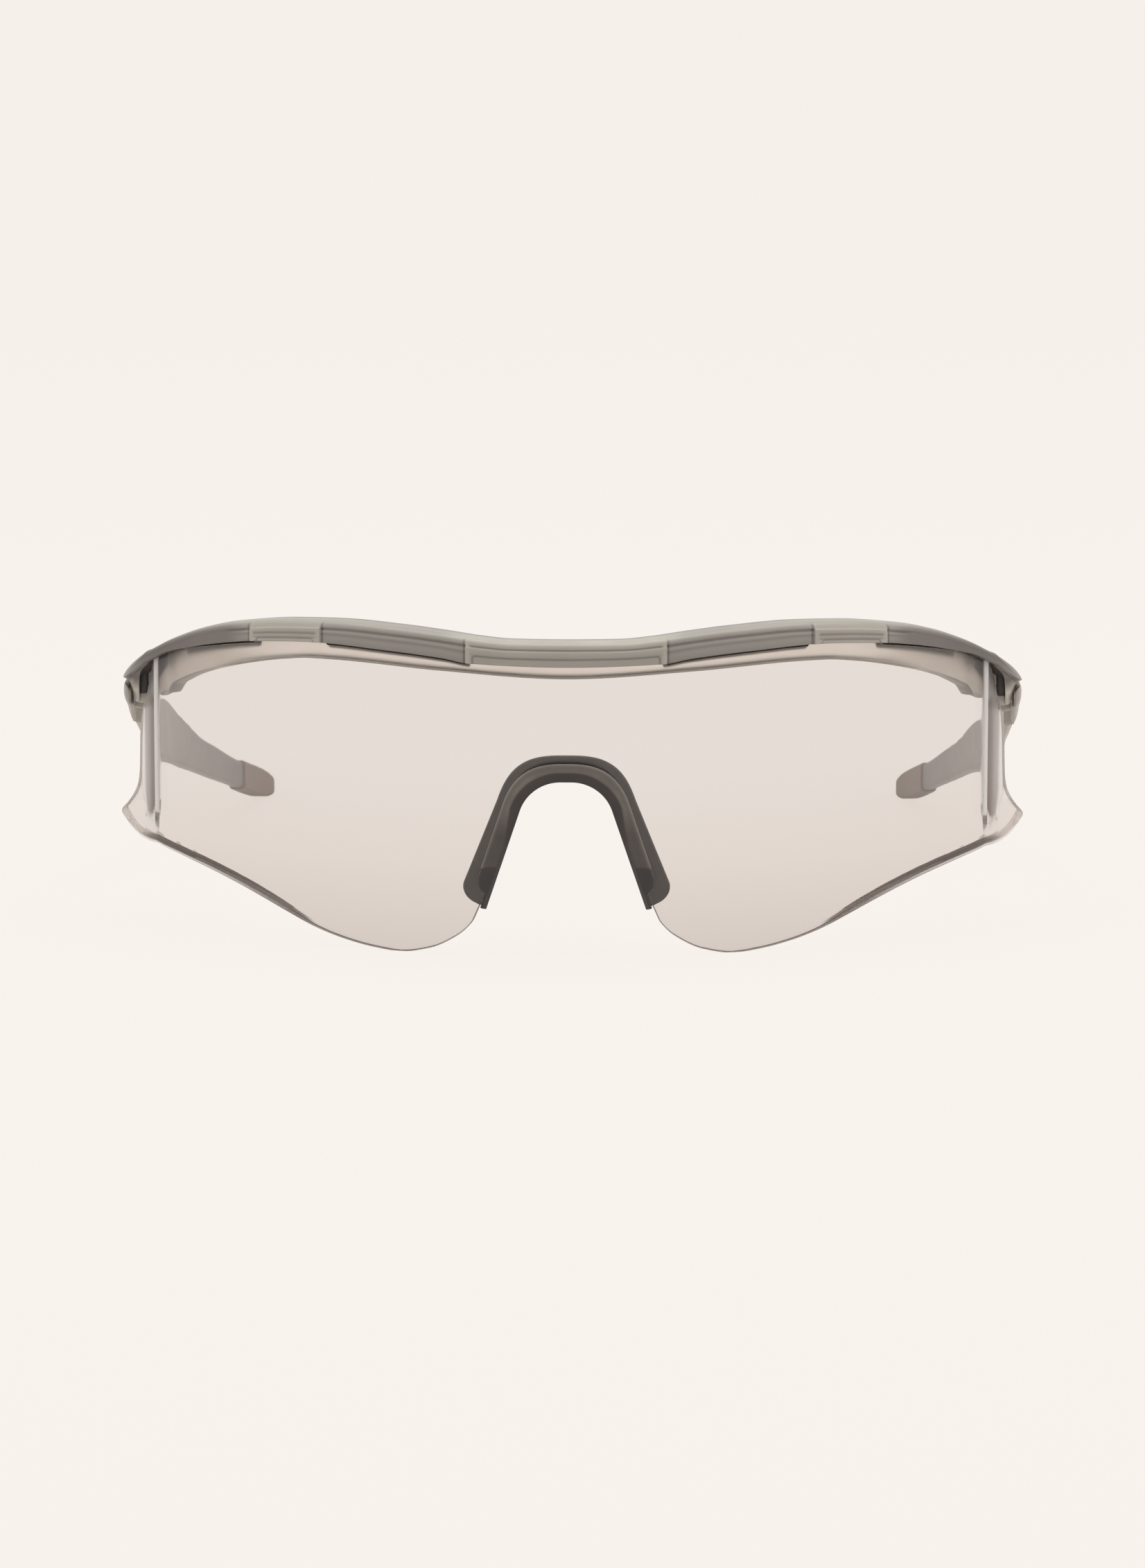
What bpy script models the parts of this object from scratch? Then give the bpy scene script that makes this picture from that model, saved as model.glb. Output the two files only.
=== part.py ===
"""Wrap-around cycling glasses at rest on a table, as separate pieces.

A one-piece shield lens sits in the groove of a brow bar. A grooved nose bridge is clipped on the
lens, two rubber pads are pegged through it, and two temple arms with rubber grips fold on screws.
Metres, +Z up. The front faces -Y, and the wearer's left is +X. The lens and the ends of the arms
stand on Z = 0. Tables of shares give outlines as parts of the half width and the front height.
"""

import math

import bmesh
import bpy
import numpy as np
from mathutils import Matrix, Vector

# Whole front
LENS_HALF_WIDTH = 0.0671  # middle to the side crease
FRONT_HEIGHT = 0.0521  # table to the highest point of the brow bar
TEMPLE_REACH = 0.1105  # hinge axis to the end of a grip, along Y
FIT_GAP = 0.0003  # clearance between any two pieces
CUT_OVERRUN = 0.002  # how far a cutter runs past what it cuts
MIRROR_MERGE = 0.00001  # points this near the middle plane are joined

# Shield lens
LENS_RADIUS = 0.086  # wrap, seen from above
LENS_UPRIGHT_RADIUS = 0.35  # bow, seen from the side
LENS_THICKNESS = 0.0016
LENS_COLUMN = 0.0034  # widest column of the lens sheet
LENS_ROWS = 14
WING_DEPTH = 0.009  # how far the side wing runs back behind the crease
WING_REACH = 0.0064  # crease to the tip of the lower fin
WING_WALL_OUT = 0.0022  # how far out the wing's steep side wall ends and its flange starts
HEM_DEPTH = 0.0052  # how far the lower edge folds back at the fin
HEM_HEIGHT = 0.0022
HEM_LEAST = 0.0009  # lowest row of the sheet where the edge is not folded
VENT_GAP = 0.00045  # open slot between the bar's lip and the lens, beside the tabs

# Brow bar
LIP_FRONT = 0.0015  # face of the bar ahead of the lens
GROOVE_DEPTH = 0.0013  # how far the lens tabs reach up into the bar
BAR_DEPTH = 0.0046  # lens face to the back of the rear wall
BAR_ROUND = 0.0013  # height of the rounded upper band
BAR_COLUMN = 0.0042
PAD_RAISE = 0.00025  # the bar stands proud over the lens tabs
PAD_STEP = 0.0006
PAD_MIDDLE_HALF = 0.0154
PAD_SIDE_HALF = 0.0057
LENS_HELD_END = 0.0051  # this near the crease the lens's upper edge is up in the bar again
ROOF_END = 0.0009  # thickness of the bar over the wing
REAR_WALL_END = 0.0007  # thickness of the rear wall where it meets the lug
END_STATIONS = 7

# Hinge
KNUCKLE_RADIUS = 0.0022
LUG_HEIGHT = 0.0064
LUG_WALL = 0.0017  # lug in front of the tongue's slot
LUG_INNER = 0.0039  # hinge axis to the inner side of the lug
LUG_CORNER = 0.0014
CHEEK_THICKNESS = 0.0007  # plate beside the wing, under the roof
CHEEK_RISE = 0.0008  # lower edge of that plate above the lug's underside
CHEEK_LENGTH = 0.0038
TONGUE_THICKNESS = 0.0018
SCREW_RADIUS = 0.0007
SCREW_HEAD_RADIUS = 0.0013
SCREW_HEAD = 0.0007
SCREW_END = 0.0004  # screw's tip above the lug's underside
HINGE_FROM_CREASE = 0.0021  # crease to hinge axis, along X
WING_CLEARANCE = 0.00085  # wing's rear edge to the lug
WING_TOP_GAP = 0.0006  # room over the wing, under the bar's end, beyond the fit gap

# Nose bridge and pads
ARCH_TOP = 0.0279  # underside of the bridge over the nose
ARCH_RADIUS = 0.0067
NOSE_LEAN = math.radians(18.6)  # leg of the arch against the upright
NOSE_FOOT_X = 0.0119
NOSE_FOOT_Z = 0.0093
BRIDGE_END_Z = 0.0076
BRIDGE_WEB = 0.0007
BRIDGE_LIP = 0.0014
BRIDGE_LIP_WIDTH = 0.0029
BRIDGE_LIP_END_Z = 0.0098
BRIDGE_FLANGE = 0.0015
BRIDGE_FLANGE_TOP = 0.0038
BRIDGE_FLANGE_FOOT = 0.0047
BRIDGE_CHAMFER = 0.0004
LEG_STATIONS = 9
ARCH_STATIONS = 8
PEG_RADIUS = 0.0012
PEG_SPREAD = 0.0023  # opening of the bridge to the peg's axis
PEG_Z = 0.0127
PAD_HALF_LENGTH = 0.008
PAD_HALF_DEPTH = 0.0041
PAD_THICKNESS = 0.0016
PAD_SPLAY = math.radians(14)
PAD_MIDDLE_Z = 0.0155
PAD_EDGE = 0.0006
PAD_POINTS = 28
PAD_SQUARENESS = 3  # power of the pad's outline, 2 would be an ellipse

# Temple arms and grips
SHOULDER_THICKNESS = 0.0014
SHOULDER_AHEAD = 0.009  # shoulder runs this far ahead of the hinge axis
BLADE_THICKNESS = 0.0024
BLADE_CORNER = 0.0007
SHOULDER_RINGS = 4
BLADE_RINGS = 17
TANG_RINGS = 4
GRIP_RINGS = 8
TANG_INSET = 0.0006
TANG_HEIGHT_INSET = 0.0013
GRIP_LENGTH = 0.0255
GRIP_WALL = 0.0003  # grip stands proud of the arm
GRIP_DOME = 0.0034  # length of the grip's rounded end
TANG_LENGTH = 0.019
ROUND_SIDES = 20

# Outlines, as shares of LENS_HALF_WIDTH and FRONT_HEIGHT
BAR_TOP_SHARES = (
    (0, 0.958), (0.13, 0.959), (0.2, 0.966), (0.29, 0.980), (0.39, 0.992), (0.52, 1),
    (0.65, 0.993), (0.79, 0.967), (0.86, 0.941), (0.925, 0.905), (1, 0.851),
)
BAR_LIP_SHARES = (
    (0, 0.881), (0.225, 0.889), (0.285, 0.902), (0.415, 0.918), (0.575, 0.929),
    (0.725, 0.917), (0.815, 0.898), (0.895, 0.871), (0.95, 0.847), (1, 0.808),
)
BAR_REAR_SHARES = (
    (0, 0.832), (0.3, 0.850), (0.56, 0.866), (0.65, 0.866), (0.72, 0.854), (0.765, 0.843),
    (0.86, 0.808), (1, 0.754),
)
LOBE_SHARES = (
    (0.224, 0.100), (0.258, 0.058), (0.323, 0.016), (0.393, 0), (0.455, 0.008),
    (0.522, 0.025), (0.589, 0.051), (0.654, 0.085), (0.721, 0.120), (0.79, 0.152),
    (0.858, 0.178), (0.93, 0.199), (1, 0.218), (1.04, 0.236), (1.095, 0.292),
)
# Wing: share of the lens's side height, then share of WING_REACH that the wing's edge stands out
WING_EDGE_SHARES = (
    (0, 1), (0.06, 0.98), (0.13, 0.81), (0.2, 0.65), (0.27, 0.55), (0.36, 0.51), (0.55, 0.49),
    (0.7, 0.42), (0.8, 0.31), (0.9, 0.23), (1, 0.18),
)
# Wing's columns: shares of the way over the side wall, over the flange beside it, and of WING_DEPTH
WING_SHARES = ((0.5, 0, 0.4), (1, 0, 0.76), (1, 0.22, 0.88), (1, 0.6, 0.96), (1, 1, 1))
WING_WALL_SHARE = 0.8  # most of the wing's reach that its side wall takes, where the flange is narrow
# Wing: share of the side height, then how far the side wall has formed above the plain fin
WING_FORM_SHARES = ((0, 0), (0.1, 0), (0.16, 0.3), (0.24, 0.85), (0.3, 1), (1, 1))
HEM_FROM_SHARE = 0.6  # share of LENS_HALF_WIDTH where the lower edge starts to fold back
HEM_GROW_SHARES = ((0, 0), (0.5, 0.42), (1, 1))  # way from there to the crease, then fold's depth
LOBE_START_SHARE = 0.161  # height where the nose arch turns into the lobe
PAD_SIDE_SHARE = 0.651  # share of LENS_HALF_WIDTH where the middle of a side tab is
HINGE_HEIGHT_SHARE = 0.687  # share of FRONT_HEIGHT where the middle of the hinge is

# Bar's end: outer leg's crown, lower edge and outer shoulder, as shares of FRONT_HEIGHT
END_TOP_SHARES = (0.851, 0.840, 0.827, 0.815, 0.806, 0.799, 0.789)
END_LIP_SHARES = (0.808, 0.797, 0.785, 0.771, 0.757, 0.747, 0.744)
END_DROP_SHARES = (0.025, 0.029, 0.034, 0.040, 0.045, 0.048, 0.042)
END_OVERLAP_SHARE = 0.8  # share of LUG_WALL that the bar's end laps over the lug
REAR_END_SHARE = 0.675  # lower edge of the rear wall where it meets the lug
MOST_ROUND_SHARE = 0.6  # most of the bar's face height that its rounded top may take
# Bar's rounded top: share of its depth from the front, then share of the rounding's height below the crown
CROWN_FRONT_SHARES = ((0.07, 0.35), (0.24, 0.07), (0.5, 0))
CROWN_REAR_SHARES = ((0.8, 0.15), (1, 0.7))

# Nose bridge: shares of a leg's length and of the flange's width, where its foot rounds off
FLANGE_CLOSE_SHARES = (0.9, 0.97)
FLANGE_ROUND_SHARE = 0.16
FLANGE_END_SHARE = 0.25

# Temple: share of TEMPLE_REACH behind the hinge axis, then shares of FRONT_HEIGHT
TEMPLE_LOW_SHARES = (
    (-0.0815, 0.650), (-0.04, 0.642), (0, 0.607), (0.032, 0.555), (0.077, 0.499), (0.122, 0.459),
    (0.213, 0.390), (0.33, 0.324), (0.42, 0.278), (0.593, 0.182), (0.769, 0.084), (0.87, 0.03),
    (0.92, 0.005), (1, 0.005),
)
TEMPLE_HIGH_SHARES = (
    (-0.0815, 0.722), (-0.04, 0.731), (0, 0.736), (0.032, 0.735), (0.077, 0.716), (0.122, 0.68),
    (0.213, 0.597), (0.33, 0.488), (0.42, 0.407), (0.593, 0.290), (0.769, 0.186), (0.91, 0.118),
    (1, 0.082),
)
# Temple: share of TEMPLE_REACH behind the axis, then share of LENS_HALF_WIDTH to the inner face
TEMPLE_INNER_SHARES = (
    (0.04, 1.052), (0.122, 1.046), (0.3, 1.023), (0.48, 0.982), (0.66, 0.937), (0.84, 0.891),
    (1, 0.85),
)
SHOULDER_LEAD_SHARE = 0.03  # part of the reach over which the shoulder's front end swells
SHOULDER_NOSE_SHARE = 0.45  # thickness at that front end
SHOULDER_RING_SHARES = (0, 0.25, 0.6, 1)  # rings along that swelling
BLADE_EASE_SHARE = 0.12  # part of the reach over which the shoulder becomes the blade
BLADE_SHORT_SHARE = 0.012  # last shoulder ring ahead of the blade's first
MOST_CORNER_SHARE = 0.42
TONGUE_ROOT_SHARE = 0.7  # of the knuckle's radius, where the tongue leaves the shoulder
GRIP_DOME_SHARES = ((0.35, 0.93), (0.7, 0.72), (1, 0.36))  # end of a grip: way along, then size
GRIP_DOME_LOW_SHARE = 0.25  # height of the point that the end closes towards

LEFT, RIGHT = 1.0, -1.0
SIDES = (("left", LEFT), ("right", RIGHT))


def through(points, at):
    """A curve through hand-set points that never overshoots them, read at the given places."""
    where, value = np.array(points, float).T
    step = np.diff(where)
    slope = np.diff(value) / step
    same = slope[:-1] * slope[1:] > 0
    tangent = np.zeros(len(where))
    with np.errstate(divide="ignore", invalid="ignore"):
        tangent[1:-1] = np.where(same, 2 / (1 / slope[:-1] + 1 / slope[1:]), 0)
    tangent[-1] = slope[-1]
    at = np.asarray(at, float)
    spot = np.clip(np.searchsorted(where, at, side="right") - 1, 0, len(step) - 1)
    part = np.clip((at - where[spot]) / step[spot], 0, 1)
    rise = value[spot + 1] - value[spot]
    bend = tangent[spot] * step[spot] * part * (1 - part) ** 2
    bend = bend - tangent[spot + 1] * step[spot] * part**2 * (1 - part)
    return value[spot] + rise * part**2 * (3 - 2 * part) + bend


def lens_face(x, z):
    """Depth of the lens's front face before its side wings and hem are folded."""
    x = np.asarray(x, float)
    wrap = LENS_RADIUS - np.sqrt(LENS_RADIUS**2 - x**2)
    return wrap + (z - FRONT_HEIGHT / 2) ** 2 / (2 * LENS_UPRIGHT_RADIUS)


def face_normal(x):
    """Unit vectors in plan that point out of the lens's front face at the given X."""
    lean = np.arcsin(np.asarray(x, float) / LENS_RADIUS)
    return np.stack([np.sin(lean), -np.cos(lean)], -1)


# Places that several pieces share
LENS_HELD_FROM = LENS_HALF_WIDTH - LENS_HELD_END
PAD_SIDE_FROM = LENS_HALF_WIDTH * PAD_SIDE_SHARE - PAD_SIDE_HALF
PAD_SIDE_TO = LENS_HALF_WIDTH * PAD_SIDE_SHARE + PAD_SIDE_HALF
CREASE_Y = float(lens_face(LENS_HALF_WIDTH, BAR_LIP_SHARES[-1][1] * FRONT_HEIGHT))
WING_BACK = CREASE_Y + WING_DEPTH
LUG_FRONT = WING_BACK + WING_CLEARANCE
HINGE_X = LENS_HALF_WIDTH + HINGE_FROM_CREASE
HINGE_Y = LUG_FRONT + LUG_WALL + FIT_GAP + KNUCKLE_RADIUS
HINGE_Z = FRONT_HEIGHT * HINGE_HEIGHT_SHARE
LUG_LOW = HINGE_Z - LUG_HEIGHT / 2
LUG_HIGH = HINGE_Z + LUG_HEIGHT / 2
LUG_OUTER = HINGE_X + KNUCKLE_RADIUS
SHOULDER_X = LUG_OUTER + FIT_GAP
TEMPLE_END = HINGE_Y + TEMPLE_REACH
PEG_BORE = PEG_RADIUS + FIT_GAP
ORIGIN_Y = -(TEMPLE_END - LIP_FRONT - PAD_RAISE) / 2  # puts the middle of the whole depth on Y = 0


def share_curve(shares, x):
    """Height of an outline at X, from its table of shares."""
    return FRONT_HEIGHT * through(shares, np.abs(x) / LENS_HALF_WIDTH)


def off_face(x, ahead):
    """Points in plan at the bar's height, the given distance ahead of the lens's front face."""
    base = np.stack([np.asarray(x, float), lens_face(x, share_curve(BAR_LIP_SHARES, x))], -1)
    return base + face_normal(x) * np.reshape(ahead, (-1, 1))


def evenly(marks, widest):
    """Places that hold every mark and are no further apart than the widest step."""
    spans = [
        np.linspace(low, high, max(2, math.ceil((high - low) / widest) + 1))
        for low, high in zip(marks, marks[1:])
    ]
    return np.unique(np.concatenate(spans))


# Scene, materials and mesh helpers


def clear_scene():
    for thing in list(bpy.data.objects):
        bpy.data.objects.remove(thing, do_unlink=True)


def material(name, colour, roughness, metallic=0.0, transmission=0.0):
    made = bpy.data.materials.new(name)
    made.use_nodes = True
    shader = made.node_tree.nodes["Principled BSDF"]
    shader.inputs["Base Color"].default_value = (*colour, 1)
    shader.inputs["Roughness"].default_value = roughness
    shader.inputs["Metallic"].default_value = metallic
    shader.inputs["Transmission Weight"].default_value = transmission
    return made


def empty(name, place, parent=None):
    made = bpy.data.objects.new(name, None)
    made.location = place
    made.parent = parent
    bpy.context.scene.collection.objects.link(made)
    return made


def solid(name, bm, finish, parent, pivot=(0, 0, 0)):
    """Turns bmesh data, drawn in the glasses' frame, into an object whose origin is the pivot."""
    bmesh.ops.recalc_face_normals(bm, faces=bm.faces)
    bmesh.ops.translate(bm, vec=-Vector(pivot), verts=bm.verts)
    mesh = bpy.data.meshes.new(name)
    bm.to_mesh(mesh)
    bm.free()
    mesh.shade_smooth()
    mesh.set_sharp_from_angle(angle=math.radians(35))
    made = bpy.data.objects.new(name, mesh)
    if finish:
        mesh.materials.append(finish)
    made.parent = parent
    bpy.context.scene.collection.objects.link(made)
    return made


def helper(name, bm, parent, pivot=(0, 0, 0)):
    """A cutter, or a shape that is joined to another, left out of the part itself."""
    made = solid(name, bm, None, parent, pivot)
    made.hide_render = True
    made.display_type = "WIRE"
    return made


def boolean(target, other, operation):
    step = target.modifiers.new(other.name, "BOOLEAN")
    step.operation = operation
    step.solver = "EXACT"
    step.object = other


def loft(rings):
    """A closed skin over rings of equally many points, with a flat cap at each end."""
    bm = bmesh.new()
    rows = [[bm.verts.new(point) for point in ring] for ring in rings]
    for row, following in zip(rows, rows[1:]):
        for i in range(len(row)):
            j = (i + 1) % len(row)
            bm.faces.new((row[i], row[j], following[j], following[i]))
    bm.faces.new(rows[0])
    bm.faces.new(rows[-1])
    return bm


def prism(outline, low, high):
    """An upright block with the given outline in plan."""
    bm = bmesh.new()
    face = bm.faces.new([bm.verts.new((x, y, low)) for x, y in outline])
    grown = bmesh.ops.extrude_face_region(bm, geom=[face])["geom"]
    top = [item for item in grown if isinstance(item, bmesh.types.BMVert)]
    bmesh.ops.translate(bm, vec=(0, 0, high - low), verts=top)
    return bm


def rod(start, end, radius):
    """A round bar between two points."""
    start, end = Vector(start), Vector(end)
    turn = Vector((0, 0, 1)).rotation_difference(end - start).to_matrix().to_4x4()
    bm = bmesh.new()
    bmesh.ops.create_cone(
        bm, cap_ends=True, segments=ROUND_SIDES, radius1=radius, radius2=radius,
        depth=(end - start).length, matrix=Matrix.Translation((start + end) / 2) @ turn,
    )
    return bm


def arc(centre, radius, first, last, count):
    """Points on an arc in plan, its angles counted from +X towards +Y."""
    turns = np.linspace(first, last, count)
    return [(centre[0] + radius * math.cos(t), centre[1] + radius * math.sin(t)) for t in turns]


def glide(start, leave, end, arrive, count):
    """A smooth path in plan from one point and heading to another, start and end included."""
    t = np.linspace(0, 1, count)[:, None]
    start, leave, end, arrive = (np.array(item, float) for item in (start, leave, end, arrive))
    ease = t**2 * (3 - 2 * t)
    return start * (1 - ease) + end * ease + leave * t * (1 - t) ** 2 - arrive * t**2 * (1 - t)


# Nose arch: a round crown between two straight leaning legs

LEG_OUT = np.array([math.cos(NOSE_LEAN), math.sin(NOSE_LEAN)])  # leg's outward normal, in X and Z
LEG_DISTANCE = float(LEG_OUT @ (NOSE_FOOT_X, NOSE_FOOT_Z))
CROWN_Z = ARCH_TOP - ARCH_RADIUS
CROWN_X = (LEG_DISTANCE - ARCH_RADIUS - CROWN_Z * LEG_OUT[1]) / LEG_OUT[0]


def arch_height(x, spread):
    """Height at X of the arch's line moved outward by the spread."""
    reach = ARCH_RADIUS + spread
    along = np.clip(x - CROWN_X, 0, reach * LEG_OUT[0])
    crown = CROWN_Z + np.sqrt(reach**2 - along**2)
    leg = (LEG_DISTANCE + spread - x * LEG_OUT[0]) / LEG_OUT[1]
    return np.where(x - CROWN_X < reach * LEG_OUT[0], crown, leg)


def leg_x(z, spread):
    """X at a height of the arch's straight leg moved outward by the spread."""
    return (LEG_DISTANCE + spread - z * LEG_OUT[1]) / LEG_OUT[0]


LENS_ARCH_SPREAD = BRIDGE_WEB + FIT_GAP
LOBE_START_Z = LOBE_START_SHARE * FRONT_HEIGHT
LOBE_START_X = float(leg_x(LOBE_START_Z, LENS_ARCH_SPREAD))


def lens_bottom(x):
    """Lower edge of the lens: nose arch, round lobe, then the rise to the fin."""
    shares = ((LOBE_START_X / LENS_HALF_WIDTH, LOBE_START_SHARE),) + LOBE_SHARES
    lobe = share_curve(shares, x)
    return np.where(x < LOBE_START_X, arch_height(x, LENS_ARCH_SPREAD), lobe)


def in_pad(x):
    """True where a lens tab reaches into the bar and the bar stands proud."""
    middle = x < PAD_MIDDLE_HALF - PAD_STEP / 2
    side = (x > PAD_SIDE_FROM + PAD_STEP / 2) & (x < PAD_SIDE_TO - PAD_STEP / 2)
    return middle | side


PAD_MARKS = [
    0, PAD_MIDDLE_HALF - PAD_STEP, PAD_MIDDLE_HALF, PAD_SIDE_FROM, PAD_SIDE_FROM + PAD_STEP,
    PAD_SIDE_TO - PAD_STEP, PAD_SIDE_TO, LENS_HELD_FROM, LENS_HALF_WIDTH,
]


def lens_top(x):
    """Upper edge of the lens: up in the groove at the tabs and the ends, just under the lip between."""
    lip = share_curve(BAR_LIP_SHARES, x)
    lower = np.interp(x, (LENS_HELD_FROM, LENS_HALF_WIDTH), (0, WING_TOP_GAP))
    held = in_pad(x) | (x > LENS_HELD_FROM - PAD_STEP / 2)
    return np.where(held, lip + GROOVE_DEPTH - FIT_GAP - lower, lip - VENT_GAP)


def lens_columns():
    """Places of the lens's columns from the middle to the crease, close where the arch is steep."""
    arch = [CROWN_X + (ARCH_RADIUS + LENS_ARCH_SPREAD) * math.sin(turn)
            for turn in np.linspace(0, math.pi / 2 - NOSE_LEAN, 7)]
    leg = list(np.linspace(arch[-1], LOBE_START_X, 6))
    marks = arch[1:] + leg[1:]
    plain = [mark for mark in PAD_MARKS if mark > LOBE_START_X]
    lobe = [LENS_HALF_WIDTH * share for share, _ in LOBE_SHARES[:4]]
    return np.unique(np.concatenate([[0], marks, lobe[:1], evenly(sorted(plain + lobe), LENS_COLUMN)]))


def lens_half():
    """Grid of points of the right half of the lens's front face: columns by rows."""
    columns = lens_columns()
    hem = np.clip((columns / LENS_HALF_WIDTH - HEM_FROM_SHARE) / (1 - HEM_FROM_SHARE), 0, 1)
    hem_depth = HEM_DEPTH * through(HEM_GROW_SHARES, hem)
    hem_height = HEM_LEAST + (HEM_HEIGHT - HEM_LEAST) * hem
    low, high = lens_bottom(columns), lens_top(columns)
    up = np.linspace(0, 1, LENS_ROWS)
    z = (low + hem_height)[:, None] + (high - low - hem_height)[:, None] * up
    z = np.concatenate([low[:, None], z], 1)
    x = np.repeat(columns[:, None], z.shape[1], 1)
    y = lens_face(x, z)
    y[:, 0] += hem_depth
    main = np.stack([x, y, z], -1)
    return np.concatenate([main, lens_wing(z[-1], hem_depth[-1])])


def lens_wing(side_z, hem_depth):
    """Columns beyond the crease: a steep side wall, then a flange that flares to the wing's edge.

    Towards the fin below, both fade into the plain wrap of the lens.
    """
    part = (side_z - side_z[0]) / (side_z[-1] - side_z[0])
    reach = WING_REACH * through(WING_EDGE_SHARES, part)
    wall = np.minimum(WING_WALL_OUT, reach * WING_WALL_SHARE)
    formed = through(WING_FORM_SHARES, part)
    tip_rise = lens_bottom(LENS_HALF_WIDTH + WING_REACH) - side_z[0]
    top_fall = (END_TOP_SHARES[0] - END_TOP_SHARES[-2]) * FRONT_HEIGHT
    columns = []
    for i, (wall_share, flange_share, back) in enumerate(WING_SHARES, 1):
        way = i / len(WING_SHARES)
        z = side_z + tip_rise * way**1.5 * (1 - part) ** 4 - top_fall * back * part**6
        plain = LENS_HALF_WIDTH + reach * way
        bent = LENS_HALF_WIDTH + wall * wall_share + (reach - wall) * flange_share
        y = lens_face(LENS_HALF_WIDTH, z) + WING_DEPTH * (way * (1 - formed) + back * formed)
        y[0] += hem_depth * (1 - way / 2)
        columns.append(np.stack([plain * (1 - formed) + bent * formed, y, z], -1))
    return np.array(columns)


def make_lens(finish, parent):
    half = lens_half()
    mirrored = half[:0:-1] * (-1, 1, 1)
    grid = np.concatenate([mirrored, half])
    bm = bmesh.new()
    bmesh.ops.create_grid(bm, x_segments=grid.shape[1] - 1, y_segments=len(grid) - 1, size=1)
    bm.verts.ensure_lookup_table()
    for vert, point in zip(bm.verts, grid.reshape(-1, 3)):
        vert.co = point
    lens = solid("shield_lens", bm, finish, parent)
    if lens.data.polygons[0].normal.y > 0:
        lens.data.flip_normals()
    wall = lens.modifiers.new("wall", "SOLIDIFY")
    wall.thickness = LENS_THICKNESS
    wall.offset = -1
    wall.use_even_offset = True
    for name, side in SIDES:
        boolean(lens, helper(f"peg_notch_{name}", peg_rod(side, PEG_BORE, CUT_OVERRUN), parent), "DIFFERENCE")
    return lens


def peg_rod(side, radius, ahead):
    """A rod along Y on a pad peg's axis, from ahead of the lens face to behind the flange."""
    x = float(leg_x(PEG_Z, PEG_SPREAD)) * side
    face = float(lens_face(x, PEG_Z))
    behind = LENS_THICKNESS + FIT_GAP + BRIDGE_FLANGE + CUT_OVERRUN
    return rod((x, face - ahead, PEG_Z), (x, face + behind, PEG_Z), radius)


def bar_paths():
    """Plan paths of the bar's walls for one half, station by station, from the middle to the lug."""
    along = evenly(PAD_MARKS, BAR_COLUMN)
    raised = LIP_FRONT + PAD_RAISE * in_pad(along)
    end_y = LUG_FRONT + LUG_WALL * END_OVERLAP_SHARE
    span = end_y - CREASE_Y
    wall_inner = HINGE_X - LUG_INNER + FIT_GAP

    def leg(depth, last, end_x):
        """Follows the lens face to the given last station, then turns back to the lug."""
        body = off_face(along[: len(along) - last], depth[: len(along) - last])
        out = face_normal(along[-1 - last])
        leave = np.array([-out[1], out[0]]) * span
        path = glide(body[-1], leave, (end_x, end_y), (0, span), END_STATIONS + last)
        return np.concatenate([body, path[1:]])

    flat = np.ones(len(along))
    return {
        "front": leg(raised, 0, SHOULDER_X + SHOULDER_THICKNESS),
        "plain": leg(flat * LIP_FRONT, 0, SHOULDER_X + SHOULDER_THICKNESS),
        "lip": leg(flat * FIT_GAP, 0, LUG_OUTER - CHEEK_THICKNESS),
        "wall": leg(-flat * (LENS_THICKNESS + FIT_GAP), 1, wall_inner + REAR_WALL_END),
        "back": leg(-flat * BAR_DEPTH, 1, wall_inner),
    }


def bar_heights():
    """Heights of the bar's edges at the same stations: crown, lip, groove, front rounding, rear wall."""
    along = evenly(PAD_MARKS, BAR_COLUMN)
    ends = np.array([END_TOP_SHARES, END_LIP_SHARES, END_DROP_SHARES])[:, 1:] * FRONT_HEIGHT
    top = np.append(share_curve(BAR_TOP_SHARES, along), ends[0])
    low = np.append(share_curve(BAR_LIP_SHARES, along), ends[1])
    groove = np.append(low[: len(along)] + GROOVE_DEPTH, ends[0] - ROOF_END)
    drop = np.append(np.full(len(along), BAR_ROUND), ends[2])
    rear = share_curve(BAR_REAR_SHARES, along)
    turn = int(np.searchsorted(along, LENS_HELD_FROM))
    fall = np.linspace(0, 1, len(top) - turn)
    rear = np.append(rear[:turn], rear[turn] * (1 - fall) + REAR_END_SHARE * FRONT_HEIGHT * fall)
    return top, low, groove, np.minimum(drop, (top - low) * MOST_ROUND_SHARE), rear


def bar_rings():
    """Cross-sections of the bar's left half, from the middle to the lug."""
    path = bar_paths()
    rings = []
    for i, (top, low, groove, drop, rear) in enumerate(zip(*bar_heights())):
        front, plain, lip, wall, back = (path[name][i] for name in path)
        rear_drop = min(BAR_ROUND, top - groove)
        across = back - plain
        crown = [(*(plain + across * part), top - drop * fall) for part, fall in CROWN_FRONT_SHARES]
        crown += [(*(plain + across * part), top - rear_drop * fall) for part, fall in CROWN_REAR_SHARES]
        ring = [(*front, low), (*front, top - drop)] + crown
        ring += [(*back, rear), (*wall, rear), (*wall, groove), (*lip, groove), (*lip, low)]
        rings.append(np.array(ring))
    return rings


def block(inner, outer, front, back):
    """Corners of an oblong in plan."""
    return [(inner, front), (outer, front), (outer, back), (inner, back)]


def lug_outline():
    """Plan of the lug: a block behind the wing with the fork's round knuckle on its outer side."""
    inner = HINGE_X - LUG_INNER
    back = LUG_FRONT + LUG_WALL
    knuckle = arc((HINGE_X, HINGE_Y), KNUCKLE_RADIUS, 0, math.pi, ROUND_SIDES // 2 + 1)
    near = [(HINGE_X - KNUCKLE_RADIUS, back + LUG_CORNER / 3), (inner + LUG_CORNER, back)]
    return [(inner, LUG_FRONT), (LUG_OUTER, LUG_FRONT)] + knuckle + near + [(inner, back - LUG_CORNER / 2)]


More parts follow.
